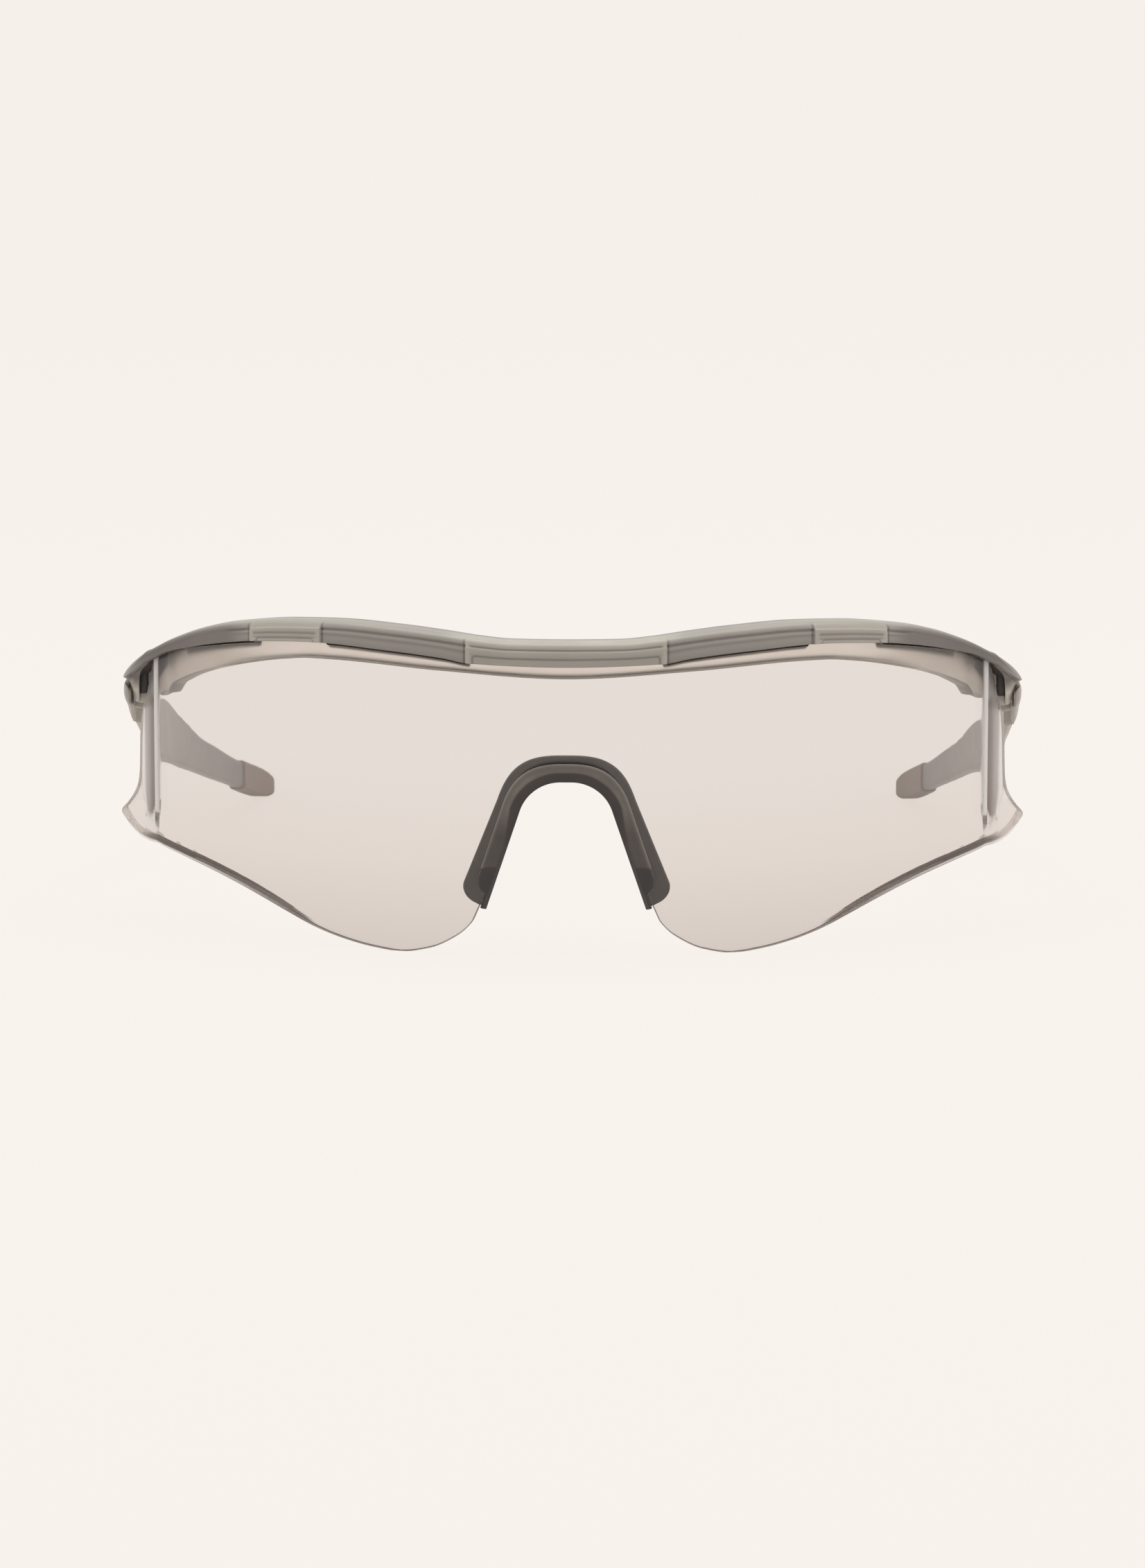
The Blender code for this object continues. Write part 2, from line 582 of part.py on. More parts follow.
def lug_shapes():
    """The solids that join the bar at one end: lug, core under the roof, and cheek beside the wing."""
    inner = HINGE_X - LUG_INNER
    bed = FIT_GAP / 2
    roof = END_TOP_SHARES[-1] * FRONT_HEIGHT - ROOF_END + bed
    core_back = LUG_FRONT + LUG_WALL * END_OVERLAP_SHARE - bed
    core = block(inner + bed, LUG_OUTER - bed, LUG_FRONT + bed, core_back)
    cheek = block(
        LUG_OUTER - CHEEK_THICKNESS + bed, LUG_OUTER - bed / 2,
        LUG_FRONT - CHEEK_LENGTH, LUG_FRONT + LUG_WALL / 3,
    )
    return {
        "lug": (lug_outline(), LUG_LOW, LUG_HIGH),
        "core": (core, LUG_LOW + bed, roof),
        "cheek": (cheek, LUG_LOW + CHEEK_RISE, roof - bed),
    }


def make_brow_frame(finish, parent):
    """Left half of the bar, joined and cut at its lug, then mirrored on the middle plane."""
    rings = bar_rings()
    rings = [rings[1] * (-1, 1, 1)] + rings
    frame = solid("brow_frame", loft(rings), finish, parent)
    for name, (outline, low, high) in lug_shapes().items():
        boolean(frame, helper(name, prism(outline, low, high), parent), "UNION")
    slot_half = TONGUE_THICKNESS / 2 + FIT_GAP
    slot = block(
        HINGE_X - LUG_INNER - CUT_OVERRUN, LUG_OUTER + CUT_OVERRUN,
        LUG_FRONT + LUG_WALL, HINGE_Y + KNUCKLE_RADIUS + CUT_OVERRUN,
    )
    cut = prism(slot, HINGE_Z - slot_half, HINGE_Z + slot_half)
    boolean(frame, helper("tongue_slot", cut, parent), "DIFFERENCE")
    bore = helper("screw_bore", screw_shape(LEFT, FIT_GAP, CUT_OVERRUN), parent)
    boolean(frame, bore, "DIFFERENCE")
    halves = frame.modifiers.new("other half", "MIRROR")
    halves.use_bisect_axis[0] = True
    halves.merge_threshold = MIRROR_MERGE
    return frame


def mirror(outline, side):
    return [(x * side, y) for x, y in outline]


def turned(x, y, profile):
    """A closed shape turned about an upright axis, from (radius, height) pairs going up."""
    rings = []
    for radius, z in profile:
        rings.append([(px, py, z) for px, py in arc((x, y), radius, 0, math.tau, ROUND_SIDES + 1)[:-1]])
    return loft(rings)


def screw_shape(side, gap, overrun):
    """Shank and head of a screw, grown by a gap and run past both ends where it is a bore."""
    head_low = LUG_HIGH - FIT_GAP - SCREW_HEAD - gap
    profile = (
        (SCREW_RADIUS + gap, LUG_LOW + SCREW_END - overrun), (SCREW_RADIUS + gap, head_low),
        (SCREW_HEAD_RADIUS + gap, head_low), (SCREW_HEAD_RADIUS + gap, LUG_HIGH - FIT_GAP + overrun),
    )
    return turned(HINGE_X * side, HINGE_Y, profile)


def make_screws(finish, parent):
    for name, side in SIDES:
        solid(f"hinge_screw_{name}", screw_shape(side, 0, 0), finish, parent)


def bridge_rings():
    """Cross-sections of the nose bridge, carried from the left foot over the arch to the right."""
    leg_top = np.array([CROWN_X, CROWN_Z]) + LEG_OUT * ARCH_RADIUS
    foot = np.array([float(leg_x(BRIDGE_END_Z, 0)), BRIDGE_END_Z])
    lip_end = (leg_top[1] - BRIDGE_LIP_END_Z) / (leg_top[1] - BRIDGE_END_Z)
    steps = sorted(set(np.linspace(0, 1, LEG_STATIONS)) | {lip_end, *FLANGE_CLOSE_SHARES})
    half = [((leg_top + (foot - leg_top) * t), LEG_OUT, t) for t in reversed(steps)]
    for turn in np.linspace(NOSE_LEAN, math.pi / 2, ARCH_STATIONS)[1:]:
        out = np.array([math.cos(turn), math.sin(turn)])
        half.append((np.array([CROWN_X, CROWN_Z]) + out * ARCH_RADIUS, out, 0))
    half.append((np.array([0, ARCH_TOP]), np.array([0, 1]), 0))
    whole = [(p * (-1, 1), n * (-1, 1), t) for p, n, t in half[:-1]] + half[::-1]
    return [bridge_section(point, out, t, lip_end) for point, out, t in whole]


def bridge_section(point, out, down, lip_end):
    """One section: lip ahead of the lens, web in the arch, wider flange behind the lens."""
    lip_room = BRIDGE_LIP_WIDTH - BRIDGE_WEB
    left = np.clip((lip_end - down) / (1 - lip_end), 0, 1)
    lip = BRIDGE_WEB + max(lip_room * math.sqrt(1 - (1 - left) ** 2), FIT_GAP)
    widen = BRIDGE_FLANGE_TOP + (BRIDGE_FLANGE_FOOT - BRIDGE_FLANGE_TOP) * down
    close = np.clip((1 - down) / FLANGE_ROUND_SHARE, 0, 1)
    swell = FLANGE_END_SHARE + (1 - FLANGE_END_SHARE) * math.sqrt(1 - (1 - close) ** 2)
    flange = BRIDGE_WEB + (widen - BRIDGE_WEB) * swell
    chamfer = min(BRIDGE_CHAMFER, (lip - BRIDGE_WEB) / 2)
    ahead = -(FIT_GAP + BRIDGE_LIP)
    behind = LENS_THICKNESS + FIT_GAP
    rear = behind + BRIDGE_FLANGE
    outline = (
        (0, ahead + BRIDGE_CHAMFER), (BRIDGE_CHAMFER, ahead), (lip - chamfer, ahead),
        (lip, ahead + chamfer), (lip, -FIT_GAP), (BRIDGE_WEB, -FIT_GAP), (BRIDGE_WEB, behind),
        (flange, behind), (flange, rear - BRIDGE_CHAMFER), (flange - BRIDGE_CHAMFER, rear),
        (BRIDGE_CHAMFER, rear), (0, rear - BRIDGE_CHAMFER),
    )
    ring = []
    for spread, depth in outline:
        x, z = point + out * spread
        ring.append((x, float(lens_face(x, z)) + depth, z))
    return ring


def make_nose_bridge(finish, parent):
    bridge = solid("nose_bridge", loft(bridge_rings()), finish, parent)
    for name, side in SIDES:
        cut = peg_rod(side, PEG_BORE, -LENS_THICKNESS / 2)
        boolean(bridge, helper(f"peg_hole_{name}", cut, parent), "DIFFERENCE")


def make_nose_pads(finish, parent):
    """A flat rounded pad on each leg, splayed to the nose, with a peg through the flange."""
    for name, side in SIDES:
        down = Vector((LEG_OUT[1] * side, 0, -LEG_OUT[0]))
        out = Vector((LEG_OUT[0] * side, 0, LEG_OUT[1]))
        back = Vector((0, math.cos(PAD_SPLAY), 0)) + out * math.sin(PAD_SPLAY)
        thick = out * math.cos(PAD_SPLAY) - Vector((0, math.sin(PAD_SPLAY), 0))
        x = float(leg_x(PAD_MIDDLE_Z, 2 * FIT_GAP)) * side
        deepest = float(lens_face(leg_x(BRIDGE_END_Z, BRIDGE_FLANGE_FOOT), BRIDGE_END_Z))
        rear = deepest + LENS_THICKNESS + FIT_GAP + BRIDGE_FLANGE + FIT_GAP
        middle = Vector((x, rear, PAD_MIDDLE_Z)) + back * PAD_HALF_DEPTH
        bm = bmesh.new()
        ring = []
        for turn in np.linspace(0, math.tau, PAD_POINTS, endpoint=False):
            across, along = math.cos(turn), math.sin(turn)
            across = math.copysign(abs(across) ** (2 / PAD_SQUARENESS), across)
            along = math.copysign(abs(along) ** (2 / PAD_SQUARENESS), along)
            reach = back * across * PAD_HALF_DEPTH + down * along * PAD_HALF_LENGTH
            ring.append(bm.verts.new(middle + reach))
        face = bm.faces.new(ring)
        grown = bmesh.ops.extrude_face_region(bm, geom=[face])["geom"]
        raised = [item for item in grown if isinstance(item, bmesh.types.BMVert)]
        bmesh.ops.translate(bm, vec=thick * PAD_THICKNESS, verts=raised)
        pad = solid(f"nose_pad_{name}", bm, finish, parent)
        edge = pad.modifiers.new("soft edge", "BEVEL")
        edge.width = PAD_EDGE
        edge.segments = 2
        peg_x = float(leg_x(PEG_Z, PEG_SPREAD)) * side
        front = float(lens_face(peg_x, PEG_Z)) + FIT_GAP
        peg = rod((peg_x, front, PEG_Z), (peg_x, rear + PAD_THICKNESS, PEG_Z), PEG_RADIUS)
        boolean(pad, helper(f"peg_{name}", peg, parent), "UNION")


def temple_section(along, grow, lift):
    """Rounded oblong section of an arm at a share of its reach, grown sideways and in height."""
    y = HINGE_Y + TEMPLE_REACH * along
    low = FRONT_HEIGHT * float(through(TEMPLE_LOW_SHARES, along)) - lift
    high = FRONT_HEIGHT * float(through(TEMPLE_HIGH_SHARES, along)) + lift
    inner = LENS_HALF_WIDTH * float(through(TEMPLE_INNER_SHARES, along))
    outer = inner + BLADE_THICKNESS
    start = TEMPLE_INNER_SHARES[0][0]
    if along < start:
        inner = SHOULDER_X
    lead = np.clip((along + SHOULDER_AHEAD / TEMPLE_REACH) / SHOULDER_LEAD_SHARE, 0, 1)
    swell = SHOULDER_NOSE_SHARE + (1 - SHOULDER_NOSE_SHARE) * math.sqrt(1 - (1 - lead) ** 2)
    outer_most = SHOULDER_X + SHOULDER_THICKNESS * swell
    ease = np.clip((along - start) / BLADE_EASE_SHARE, 0, 1)
    ease = ease**2 * (3 - 2 * ease)
    outer = outer_most * (1 - ease) + outer * ease
    return oblong(inner - grow, outer + grow, low, high, y)


def oblong(inner, outer, low, high, y):
    """Twelve points of an upright oblong with rounded corners."""
    corner = min(BLADE_CORNER, (outer - inner) * MOST_CORNER_SHARE, (high - low) * MOST_CORNER_SHARE)
    ring = []
    for cx, cz, first in (
        (inner + corner, low + corner, 180), (outer - corner, low + corner, 270),
        (outer - corner, high - corner, 0), (inner + corner, high - corner, 90),
    ):
        for turn in (0, 45, 90):
            angle = math.radians(first + turn)
            ring.append((cx + corner * math.cos(angle), y, cz + corner * math.sin(angle)))
    return np.array(ring)


def make_temples(finish, hinges):
    start = TEMPLE_INNER_SHARES[0][0]
    first = -SHOULDER_AHEAD / TEMPLE_REACH
    grip_at = 1 - GRIP_LENGTH / TEMPLE_REACH
    shares = np.concatenate([
        np.array(SHOULDER_RING_SHARES) * SHOULDER_LEAD_SHARE + first,
        np.linspace(0, start - BLADE_SHORT_SHARE, SHOULDER_RINGS),
        np.linspace(start, grip_at, BLADE_RINGS),
    ])
    tang = np.linspace(grip_at, grip_at + TANG_LENGTH / TEMPLE_REACH, TANG_RINGS)
    rings = [temple_section(share, 0, 0) for share in shares]
    rings += [temple_section(share, -TANG_INSET, -TANG_HEIGHT_INSET) for share in tang]
    for name, side in SIDES:
        pivot = (HINGE_X * side, HINGE_Y, HINGE_Z)
        arm = solid(
            f"temple_arm_{name}", loft([ring * (side, 1, 1) for ring in rings]), finish, hinges[name], pivot
        )
        knuckle = arc((HINGE_X, HINGE_Y), KNUCKLE_RADIUS, math.pi / 2, math.pi * 1.75, ROUND_SIDES)
        web = [(SHOULDER_X + SHOULDER_THICKNESS / 2, HINGE_Y - KNUCKLE_RADIUS * TONGUE_ROOT_SHARE),
               (SHOULDER_X + SHOULDER_THICKNESS / 2, HINGE_Y + KNUCKLE_RADIUS)]
        half = TONGUE_THICKNESS / 2
        tongue = prism(mirror(knuckle + web, side), HINGE_Z - half, HINGE_Z + half)
        boolean(arm, helper(f"tongue_{name}", tongue, hinges[name], pivot), "UNION")
        bore = rod(
            (HINGE_X * side, HINGE_Y, LUG_LOW - CUT_OVERRUN), (HINGE_X * side, HINGE_Y, LUG_HIGH),
            SCREW_RADIUS + FIT_GAP,
        )
        boolean(arm, helper(f"tongue_bore_{name}", bore, hinges[name], pivot), "DIFFERENCE")


def make_grips(finish, hinges):
    """Rubber sleeves with a socket for the arm's tang and a flat foot where they rest."""
    grip_at = 1 - GRIP_LENGTH / TEMPLE_REACH + FIT_GAP / TEMPLE_REACH
    dome = GRIP_DOME / TEMPLE_REACH
    straight = np.linspace(grip_at, 1 - dome, GRIP_RINGS)
    rings = [temple_section(share, GRIP_WALL, GRIP_WALL) for share in straight]
    for part, size in GRIP_DOME_SHARES:
        ring = temple_section(1 - dome + dome * part, GRIP_WALL, GRIP_WALL)
        middle = ring.mean(0)
        middle[2] = ring[:, 2].min() + (middle[2] - ring[:, 2].min()) * GRIP_DOME_LOW_SHARE
        rings.append(middle + (ring - middle) * (size, 1, size))
    lowest = [np.maximum(ring, (-math.inf, -math.inf, 0)) for ring in rings]
    socket_end = 1 - (GRIP_LENGTH - TANG_LENGTH) / TEMPLE_REACH + FIT_GAP / TEMPLE_REACH
    socket_start = grip_at - CUT_OVERRUN / TEMPLE_REACH
    inset = FIT_GAP - TANG_INSET
    height_inset = FIT_GAP - TANG_HEIGHT_INSET
    places = np.linspace(socket_start, socket_end, TANG_RINGS)
    socket = [temple_section(share, inset, height_inset) for share in places]
    for name, side in SIDES:
        pivot = (HINGE_X * side, HINGE_Y, HINGE_Z)
        grip = solid(
            f"temple_grip_{name}", loft([ring * (side, 1, 1) for ring in lowest]), finish, hinges[name], pivot
        )
        cut = loft([ring * (side, 1, 1) for ring in socket])
        boolean(grip, helper(f"tang_socket_{name}", cut, hinges[name], pivot), "DIFFERENCE")


def main():
    clear_scene()
    nylon = material("frosted grey nylon", (0.36, 0.34, 0.31), 0.42)
    tinted = material("smoke polycarbonate", (0.82, 0.79, 0.76), 0.05, transmission=1.0)
    rubber = material("black rubber", (0.045, 0.04, 0.038), 0.55)
    grip_rubber = material("brown grey rubber", (0.28, 0.24, 0.21), 0.6)
    steel = material("steel", (0.55, 0.55, 0.55), 0.3, metallic=1.0)
    glasses = empty("glasses", (0, ORIGIN_Y, 0))
    hinges = {
        name: empty(f"hinge_axis_{name}", (HINGE_X * side, HINGE_Y, HINGE_Z), glasses)
        for name, side in SIDES
    }
    make_brow_frame(nylon, glasses)
    make_lens(tinted, glasses)
    make_nose_bridge(rubber, glasses)
    make_nose_pads(rubber, glasses)
    make_screws(steel, glasses)
    make_temples(nylon, hinges)
    make_grips(grip_rubber, hinges)


main()
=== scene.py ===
# %% [markdown]
# # Cycling glasses, dressed for the studio
# The imported solids already hold the right sizes, gaps and hinges. What they lack is everything the
# eye enjoys: soft edges, a folded shield with a real crease, frosted nylon, grey rubber. The solids
# could be bevelled and subdivided, but their faces are long and uneven, so modifiers would pinch
# them. Each piece is worked out again here as a smooth surface from the same lengths, and then
# stands in for its solid. The first step is to load the solids.

import math

import bpy
import numpy as np
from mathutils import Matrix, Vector


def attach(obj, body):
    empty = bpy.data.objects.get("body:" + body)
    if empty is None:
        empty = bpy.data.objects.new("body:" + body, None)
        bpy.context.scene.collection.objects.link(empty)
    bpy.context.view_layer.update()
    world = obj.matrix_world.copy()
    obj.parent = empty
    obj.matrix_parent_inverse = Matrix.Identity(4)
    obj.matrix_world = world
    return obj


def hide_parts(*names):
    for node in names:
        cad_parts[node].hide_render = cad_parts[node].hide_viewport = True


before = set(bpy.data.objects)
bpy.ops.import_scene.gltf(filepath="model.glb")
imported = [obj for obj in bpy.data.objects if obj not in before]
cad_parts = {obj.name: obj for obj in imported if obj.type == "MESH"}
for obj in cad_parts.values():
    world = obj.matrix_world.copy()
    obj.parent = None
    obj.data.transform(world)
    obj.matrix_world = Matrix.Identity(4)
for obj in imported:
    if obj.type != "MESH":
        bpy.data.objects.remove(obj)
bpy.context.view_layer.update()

# %% [markdown]
# ## Lengths
# A dressed piece has to sit exactly where its solid is, so the main lengths are written down again,
# in metres. X runs across the face, Y back along the temples, Z up. Everything is drawn with the
# front of the lens at Y = 0, and `ORIGIN_Y` shifts it to the middle of the box at the very end.

# %% Lengths of the shield, the bar and the hinge
LENS_HALF_WIDTH = 0.0671  # middle to the side crease
FRONT_HEIGHT = 0.0521
TEMPLE_REACH = 0.1105  # hinge axis to the end of a grip
FIT_GAP = 0.0003
LENS_RADIUS = 0.086
LENS_UPRIGHT_RADIUS = 0.35
LENS_THICKNESS = 0.0016
WING_DEPTH = 0.009
WING_REACH = 0.0064
WING_WALL_OUT = 0.0022
HEM_DEPTH = 0.0052
HEM_HEIGHT = 0.0013
HEM_LEAST = 0.0006
LIP_FRONT = 0.0015
BAR_DEPTH = 0.0046
PAD_RAISE = 0.00025
KNUCKLE_RADIUS = 0.0022
LUG_WALL = 0.0017
LUG_INNER = 0.0039
LUG_HEIGHT = 0.0064
HINGE_FROM_CREASE = 0.0021
WING_CLEARANCE = 0.00085
LIP_END_SHARE = 0.808  # height of the bar's lip at the crease


def lens_face(x, z):
    """Depth of the shield: a circle in plan, plus a bow in height of z squared over twice a radius."""
    wrap = LENS_RADIUS - np.sqrt(LENS_RADIUS**2 - np.asarray(x, float) ** 2)
    return wrap + (z - FRONT_HEIGHT / 2) ** 2 / (2 * LENS_UPRIGHT_RADIUS)


CREASE_Y = float(lens_face(LENS_HALF_WIDTH, LIP_END_SHARE * FRONT_HEIGHT))
LUG_FRONT = CREASE_Y + WING_DEPTH + WING_CLEARANCE
HINGE_X = LENS_HALF_WIDTH + HINGE_FROM_CREASE
HINGE_Y = LUG_FRONT + LUG_WALL + FIT_GAP + KNUCKLE_RADIUS
HINGE_Z = FRONT_HEIGHT * 0.687
LUG_LOW, LUG_HIGH = HINGE_Z - LUG_HEIGHT / 2, HINGE_Z + LUG_HEIGHT / 2
LUG_OUTER = HINGE_X + KNUCKLE_RADIUS
SHOULDER_X = LUG_OUTER + FIT_GAP
SHOULDER_THICKNESS = 0.0014
ORIGIN_Y = -(HINGE_Y + TEMPLE_REACH - LIP_FRONT - PAD_RAISE) / 2
SIDES = (("left", 1), ("right", -1))
print(f"hinge axis at x {HINGE_X:.4f}, y {HINGE_Y + ORIGIN_Y:.4f}, z {HINGE_Z:.4f}")

# %% [markdown]
# ## Curves and grids
# Outlines were set as a few points. A plain polyline would show corners in every highlight,
# and a free spline swings past its points. The curve below is a cubic whose slope at each point is
# the harmonic mean of its neighbours' slopes, so it is smooth and never overshoots.


# %% A smooth curve through given points
def through(points, at):
    """Cubic Hermite curve through (place, value) pairs, read at the places `at`, for whole arrays."""
    where, value = np.array(points, float).T
    step = np.diff(where)
    slope = np.diff(value) / step
    same = slope[:-1] * slope[1:] > 0
    tangent = np.zeros(len(where))
    with np.errstate(divide="ignore", invalid="ignore"):
        tangent[1:-1] = np.where(same, 2 / (1 / slope[:-1] + 1 / slope[1:]), 0)
    tangent[-1] = slope[-1]
    at = np.asarray(at, float)
    spot = np.clip(np.searchsorted(where, at, side="right") - 1, 0, len(step) - 1)
    part = np.clip((at - where[spot]) / step[spot], 0, 1)
    bend = tangent[spot] * step[spot] * part * (1 - part) ** 2
    bend = bend - tangent[spot + 1] * step[spot] * part**2 * (1 - part)
    return value[spot] + (value[spot + 1] - value[spot]) * part**2 * (3 - 2 * part) + bend


def ease(t):
    """The S-shaped step 3t squared minus 2t cubed, flat below 0 and above 1."""
    t = np.clip(t, 0, 1)
    return t * t * (3 - 2 * t)


def beyond(distance, soft):
    """0 below zero distance and 1 above it, with an S-shaped flank of the given width."""
    return ease(distance / soft + 0.5)


def window(x, low, high, soft):
    """1 between low and high, 0 outside, with S-shaped flanks of the given width."""
    return beyond(x - low, soft) * beyond(high - x, soft)


def places(low, high, step, marks=(), near=0.0007, fine=0.00009):
    """Places from low to high, closer together around each mark."""
    spots = [np.linspace(low, high, int((high - low) / step) + 2)]
    spots += [np.arange(mark - near, mark + near, fine) for mark in marks]
    spots = np.unique(np.concatenate(spots).clip(low, high))
    return spots[np.append(True, np.diff(spots) > fine * 0.3)]


# %% [markdown]
# A surface is a grid of points, rows by columns. Its faces are counted, not searched for: the faces
# of a grid are always its neighbouring fours. `skin` closes a stack of rings with a fan at each end.
# A shape can come out inside out, so its signed volume is taken, and its faces turn round where that
# is negative.


# %% Grids of points made into closed shells
def quads(rows, columns, ring):
    """Corner numbers of all four-sided faces of a grid; with ring, the last column meets the first."""
    here = np.arange(columns if ring else columns - 1)
    beside = (here + 1) % columns
    row = np.arange(rows - 1)[:, None] * columns
    corners = (row + here, row + beside, row + columns + beside, row + columns + here)
    return np.stack(corners, -1).reshape(-1, 4)


def outward(points, fours, threes):
    """A shell with its faces turned outwards: the volume is the sum of corner triple products over 6."""
    corners = np.concatenate([fours[:, [0, 1, 2]], fours[:, [0, 2, 3]], threes])
    a, b, c = points[corners].transpose(1, 0, 2)
    if np.sum(a * np.cross(b, c)) < 0:
        fours, threes = fours[:, ::-1], threes[:, ::-1]
    return points, fours, threes


def skin(rings):
    """Closed shell over a stack of rings (rows, points, 3), with a fan from the middle of each end."""
    rows, columns, _ = rings.shape
    points = np.concatenate([rings.reshape(-1, 3), rings[[0, -1]].mean(1)])
    around = np.arange(columns)
    beside = np.roll(around, -1)
    low = np.stack([np.full(columns, rows * columns), beside, around], -1)
    last = (rows - 1) * columns
    high = np.stack([np.full(columns, rows * columns + 1), last + around, last + beside], -1)
    return outward(points, quads(rows, columns, True), np.concatenate([low, high]))


def rounded(control, times=2):
    """Closed control polygons (..., points, values) with their corners cut at the quarter points."""
    for _ in range(times):
        beside = np.roll(control, -1, axis=-2)
        cut = np.stack([0.75 * control + 0.25 * beside, 0.25 * control + 0.75 * beside], -2)
        control = cut.reshape(*control.shape[:-2], -1, control.shape[-1])
    return control


def mirrored(shell):
    """The same shell on the other side of the middle plane, its faces still outwards."""
    points, fours, threes = shell
    return points * (-1, 1, 1), fours[:, ::-1], threes[:, ::-1]


def sided(shells, sign):
    """Shells of the left side as they are, or mirrored for the right side, whose sign is -1."""
    return shells if sign > 0 else [mirrored(shell) for shell in shells]


# %% [markdown]
# Shells become one named object. Its mesh is shifted into place while the object stays at the
# origin, so that its hinge can carry it and its patterns hold still. Values per point, such as how
# near a point is to an edge, go along as attributes that the finishes read.


# %% Shells made into an object
SHARP_FROM = math.radians(38)  # edges that bend more than this stay sharp


def piece(name, shells, material, body, replaces, values=None):
    """One object from several shells: corner numbers go up by the count of points that came before."""
    points, fours, threes, start = [], [], [], 0
    for own_points, own_fours, own_threes in shells:
        points.append(own_points)
        fours.append(own_fours + start)
        threes.append(own_threes + start)
        start += len(own_points)
    points = np.concatenate(points) + (0, ORIGIN_Y, 0)
    faces = np.concatenate(fours).tolist() + np.concatenate(threes).tolist()
    mesh = bpy.data.meshes.new(name)
    mesh.from_pydata(points.tolist(), [], faces)
    mesh.shade_smooth()
    mesh.set_sharp_from_angle(angle=SHARP_FROM)
    for title, numbers in (values or {}).items():
        mesh.attributes.new(title, "FLOAT", "POINT").data.foreach_set("value", numbers.astype(np.float32))
    mesh.materials.append(material)
    made = bpy.data.objects.new(name, mesh)
    bpy.context.scene.collection.objects.link(made)
    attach(made, body)
    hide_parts(*replaces)
    print(f"{name}: {len(points)} points, {len(faces)} faces, box {np.ptp(points, 0).round(4).tolist()}")


# %% [markdown]
# ## Finishes
# Five materials make the glasses: smoke polycarbonate, frosted nylon, two rubbers and steel.
# Painting pictures on them would need flat maps of every piece. Procedural noise needs none, because
# it reads the object's own coordinates, so the grain has the same size in millimetres everywhere.


# %% Small helpers for node materials
def finish(name, colour, roughness, **sockets):
    """A Principled material; further sockets are given by name, with _ for a space."""
    made = bpy.data.materials.new(name)
    made.use_nodes = True
    shader = made.node_tree.nodes["Principled BSDF"]
    shader.inputs["Base Color"].default_value = (*colour, 1)
    shader.inputs["Roughness"].default_value = roughness
    for title, value in sockets.items():
        shader.inputs[title.replace("_", " ")].default_value = value
    return made, made.node_tree, shader


def feed(tree, value, socket):
    """A link to a socket when the value is itself a socket, and otherwise the value as its setting."""
    if isinstance(value, bpy.types.NodeSocket):
        tree.links.new(value, socket)
    else:
        socket.default_value = value


def add(tree, kind, *inputs, **settings):
    """A node: inputs go to its first sockets in turn, settings to the socket or property of that name."""
    made = tree.nodes.new(kind)
    for title, value in settings.items():
        socket = made.inputs.get(title.replace("_", " "))
        if socket is None or hasattr(made, title):
            setattr(made, title, value)
        else:
            feed(tree, value, socket)
    for value, socket in zip(inputs, made.inputs):
        feed(tree, value, socket)
    return made


def maths(tree, operation, *inputs, clamp=False):
    """The result of one sum; MULTIPLY_ADD is first times second plus third."""
    return add(tree, "ShaderNodeMath", *inputs, operation=operation, use_clamp=clamp).outputs[0]


def mapped(tree, value, low, high, first=0.0, last=1.0):
    """A value whose range from low to high is stretched to run from first to last, and stops there."""
    return add(tree, "ShaderNodeMapRange", value, low, high, first, last).outputs[0]


def noise(tree, scale, detail=2.0, stretch=(1, 1, 1)):
    """Noise in the object's own coordinates, `scale` cells to the metre."""
    spot = add(tree, "ShaderNodeTexCoord").outputs["Object"]
    turned = add(tree, "ShaderNodeMapping", Vector=spot, Scale=stretch).outputs[0]
    return add(tree, "ShaderNodeTexNoise", Vector=turned, Scale=scale, Detail=detail).outputs["Fac"]


def ramp(tree, value, low, high, colours):
    """Colours spread evenly from value = low to value = high."""
    ladder = add(tree, "ShaderNodeValToRGB", mapped(tree, value, low, high))
    steps = ladder.color_ramp.elements
    for i, colour in enumerate(colours[1:-1], 1):
        steps.new(i / (len(colours) - 1))
    for step, colour in zip(steps, colours):
        step.color = (*colour, 1)
    return ladder.outputs[0]


def mixed(tree, share, first, second):
    """A colour between two others, each a colour or a socket."""
    made = add(tree, "ShaderNodeMix", share, data_type="RGBA")
    for socket, colour in ((made.inputs[6], first), (made.inputs[7], second)):
        feed(tree, colour if isinstance(colour, bpy.types.NodeSocket) else (*colour, 1), socket)
    return made.outputs[2]


def mark(tree, name):
    """The value that a piece carries at each of its points under a name."""
    return add(tree, "ShaderNodeAttribute", attribute_name=name).outputs["Fac"]


def grain(tree, shader, scale, height):
    """A fine bump of the given height in metres."""
    made = add(tree, "ShaderNodeBump", Height=noise(tree, scale), Distance=height, Strength=1.0)
    tree.links.new(made.outputs[0], shader.inputs["Normal"])
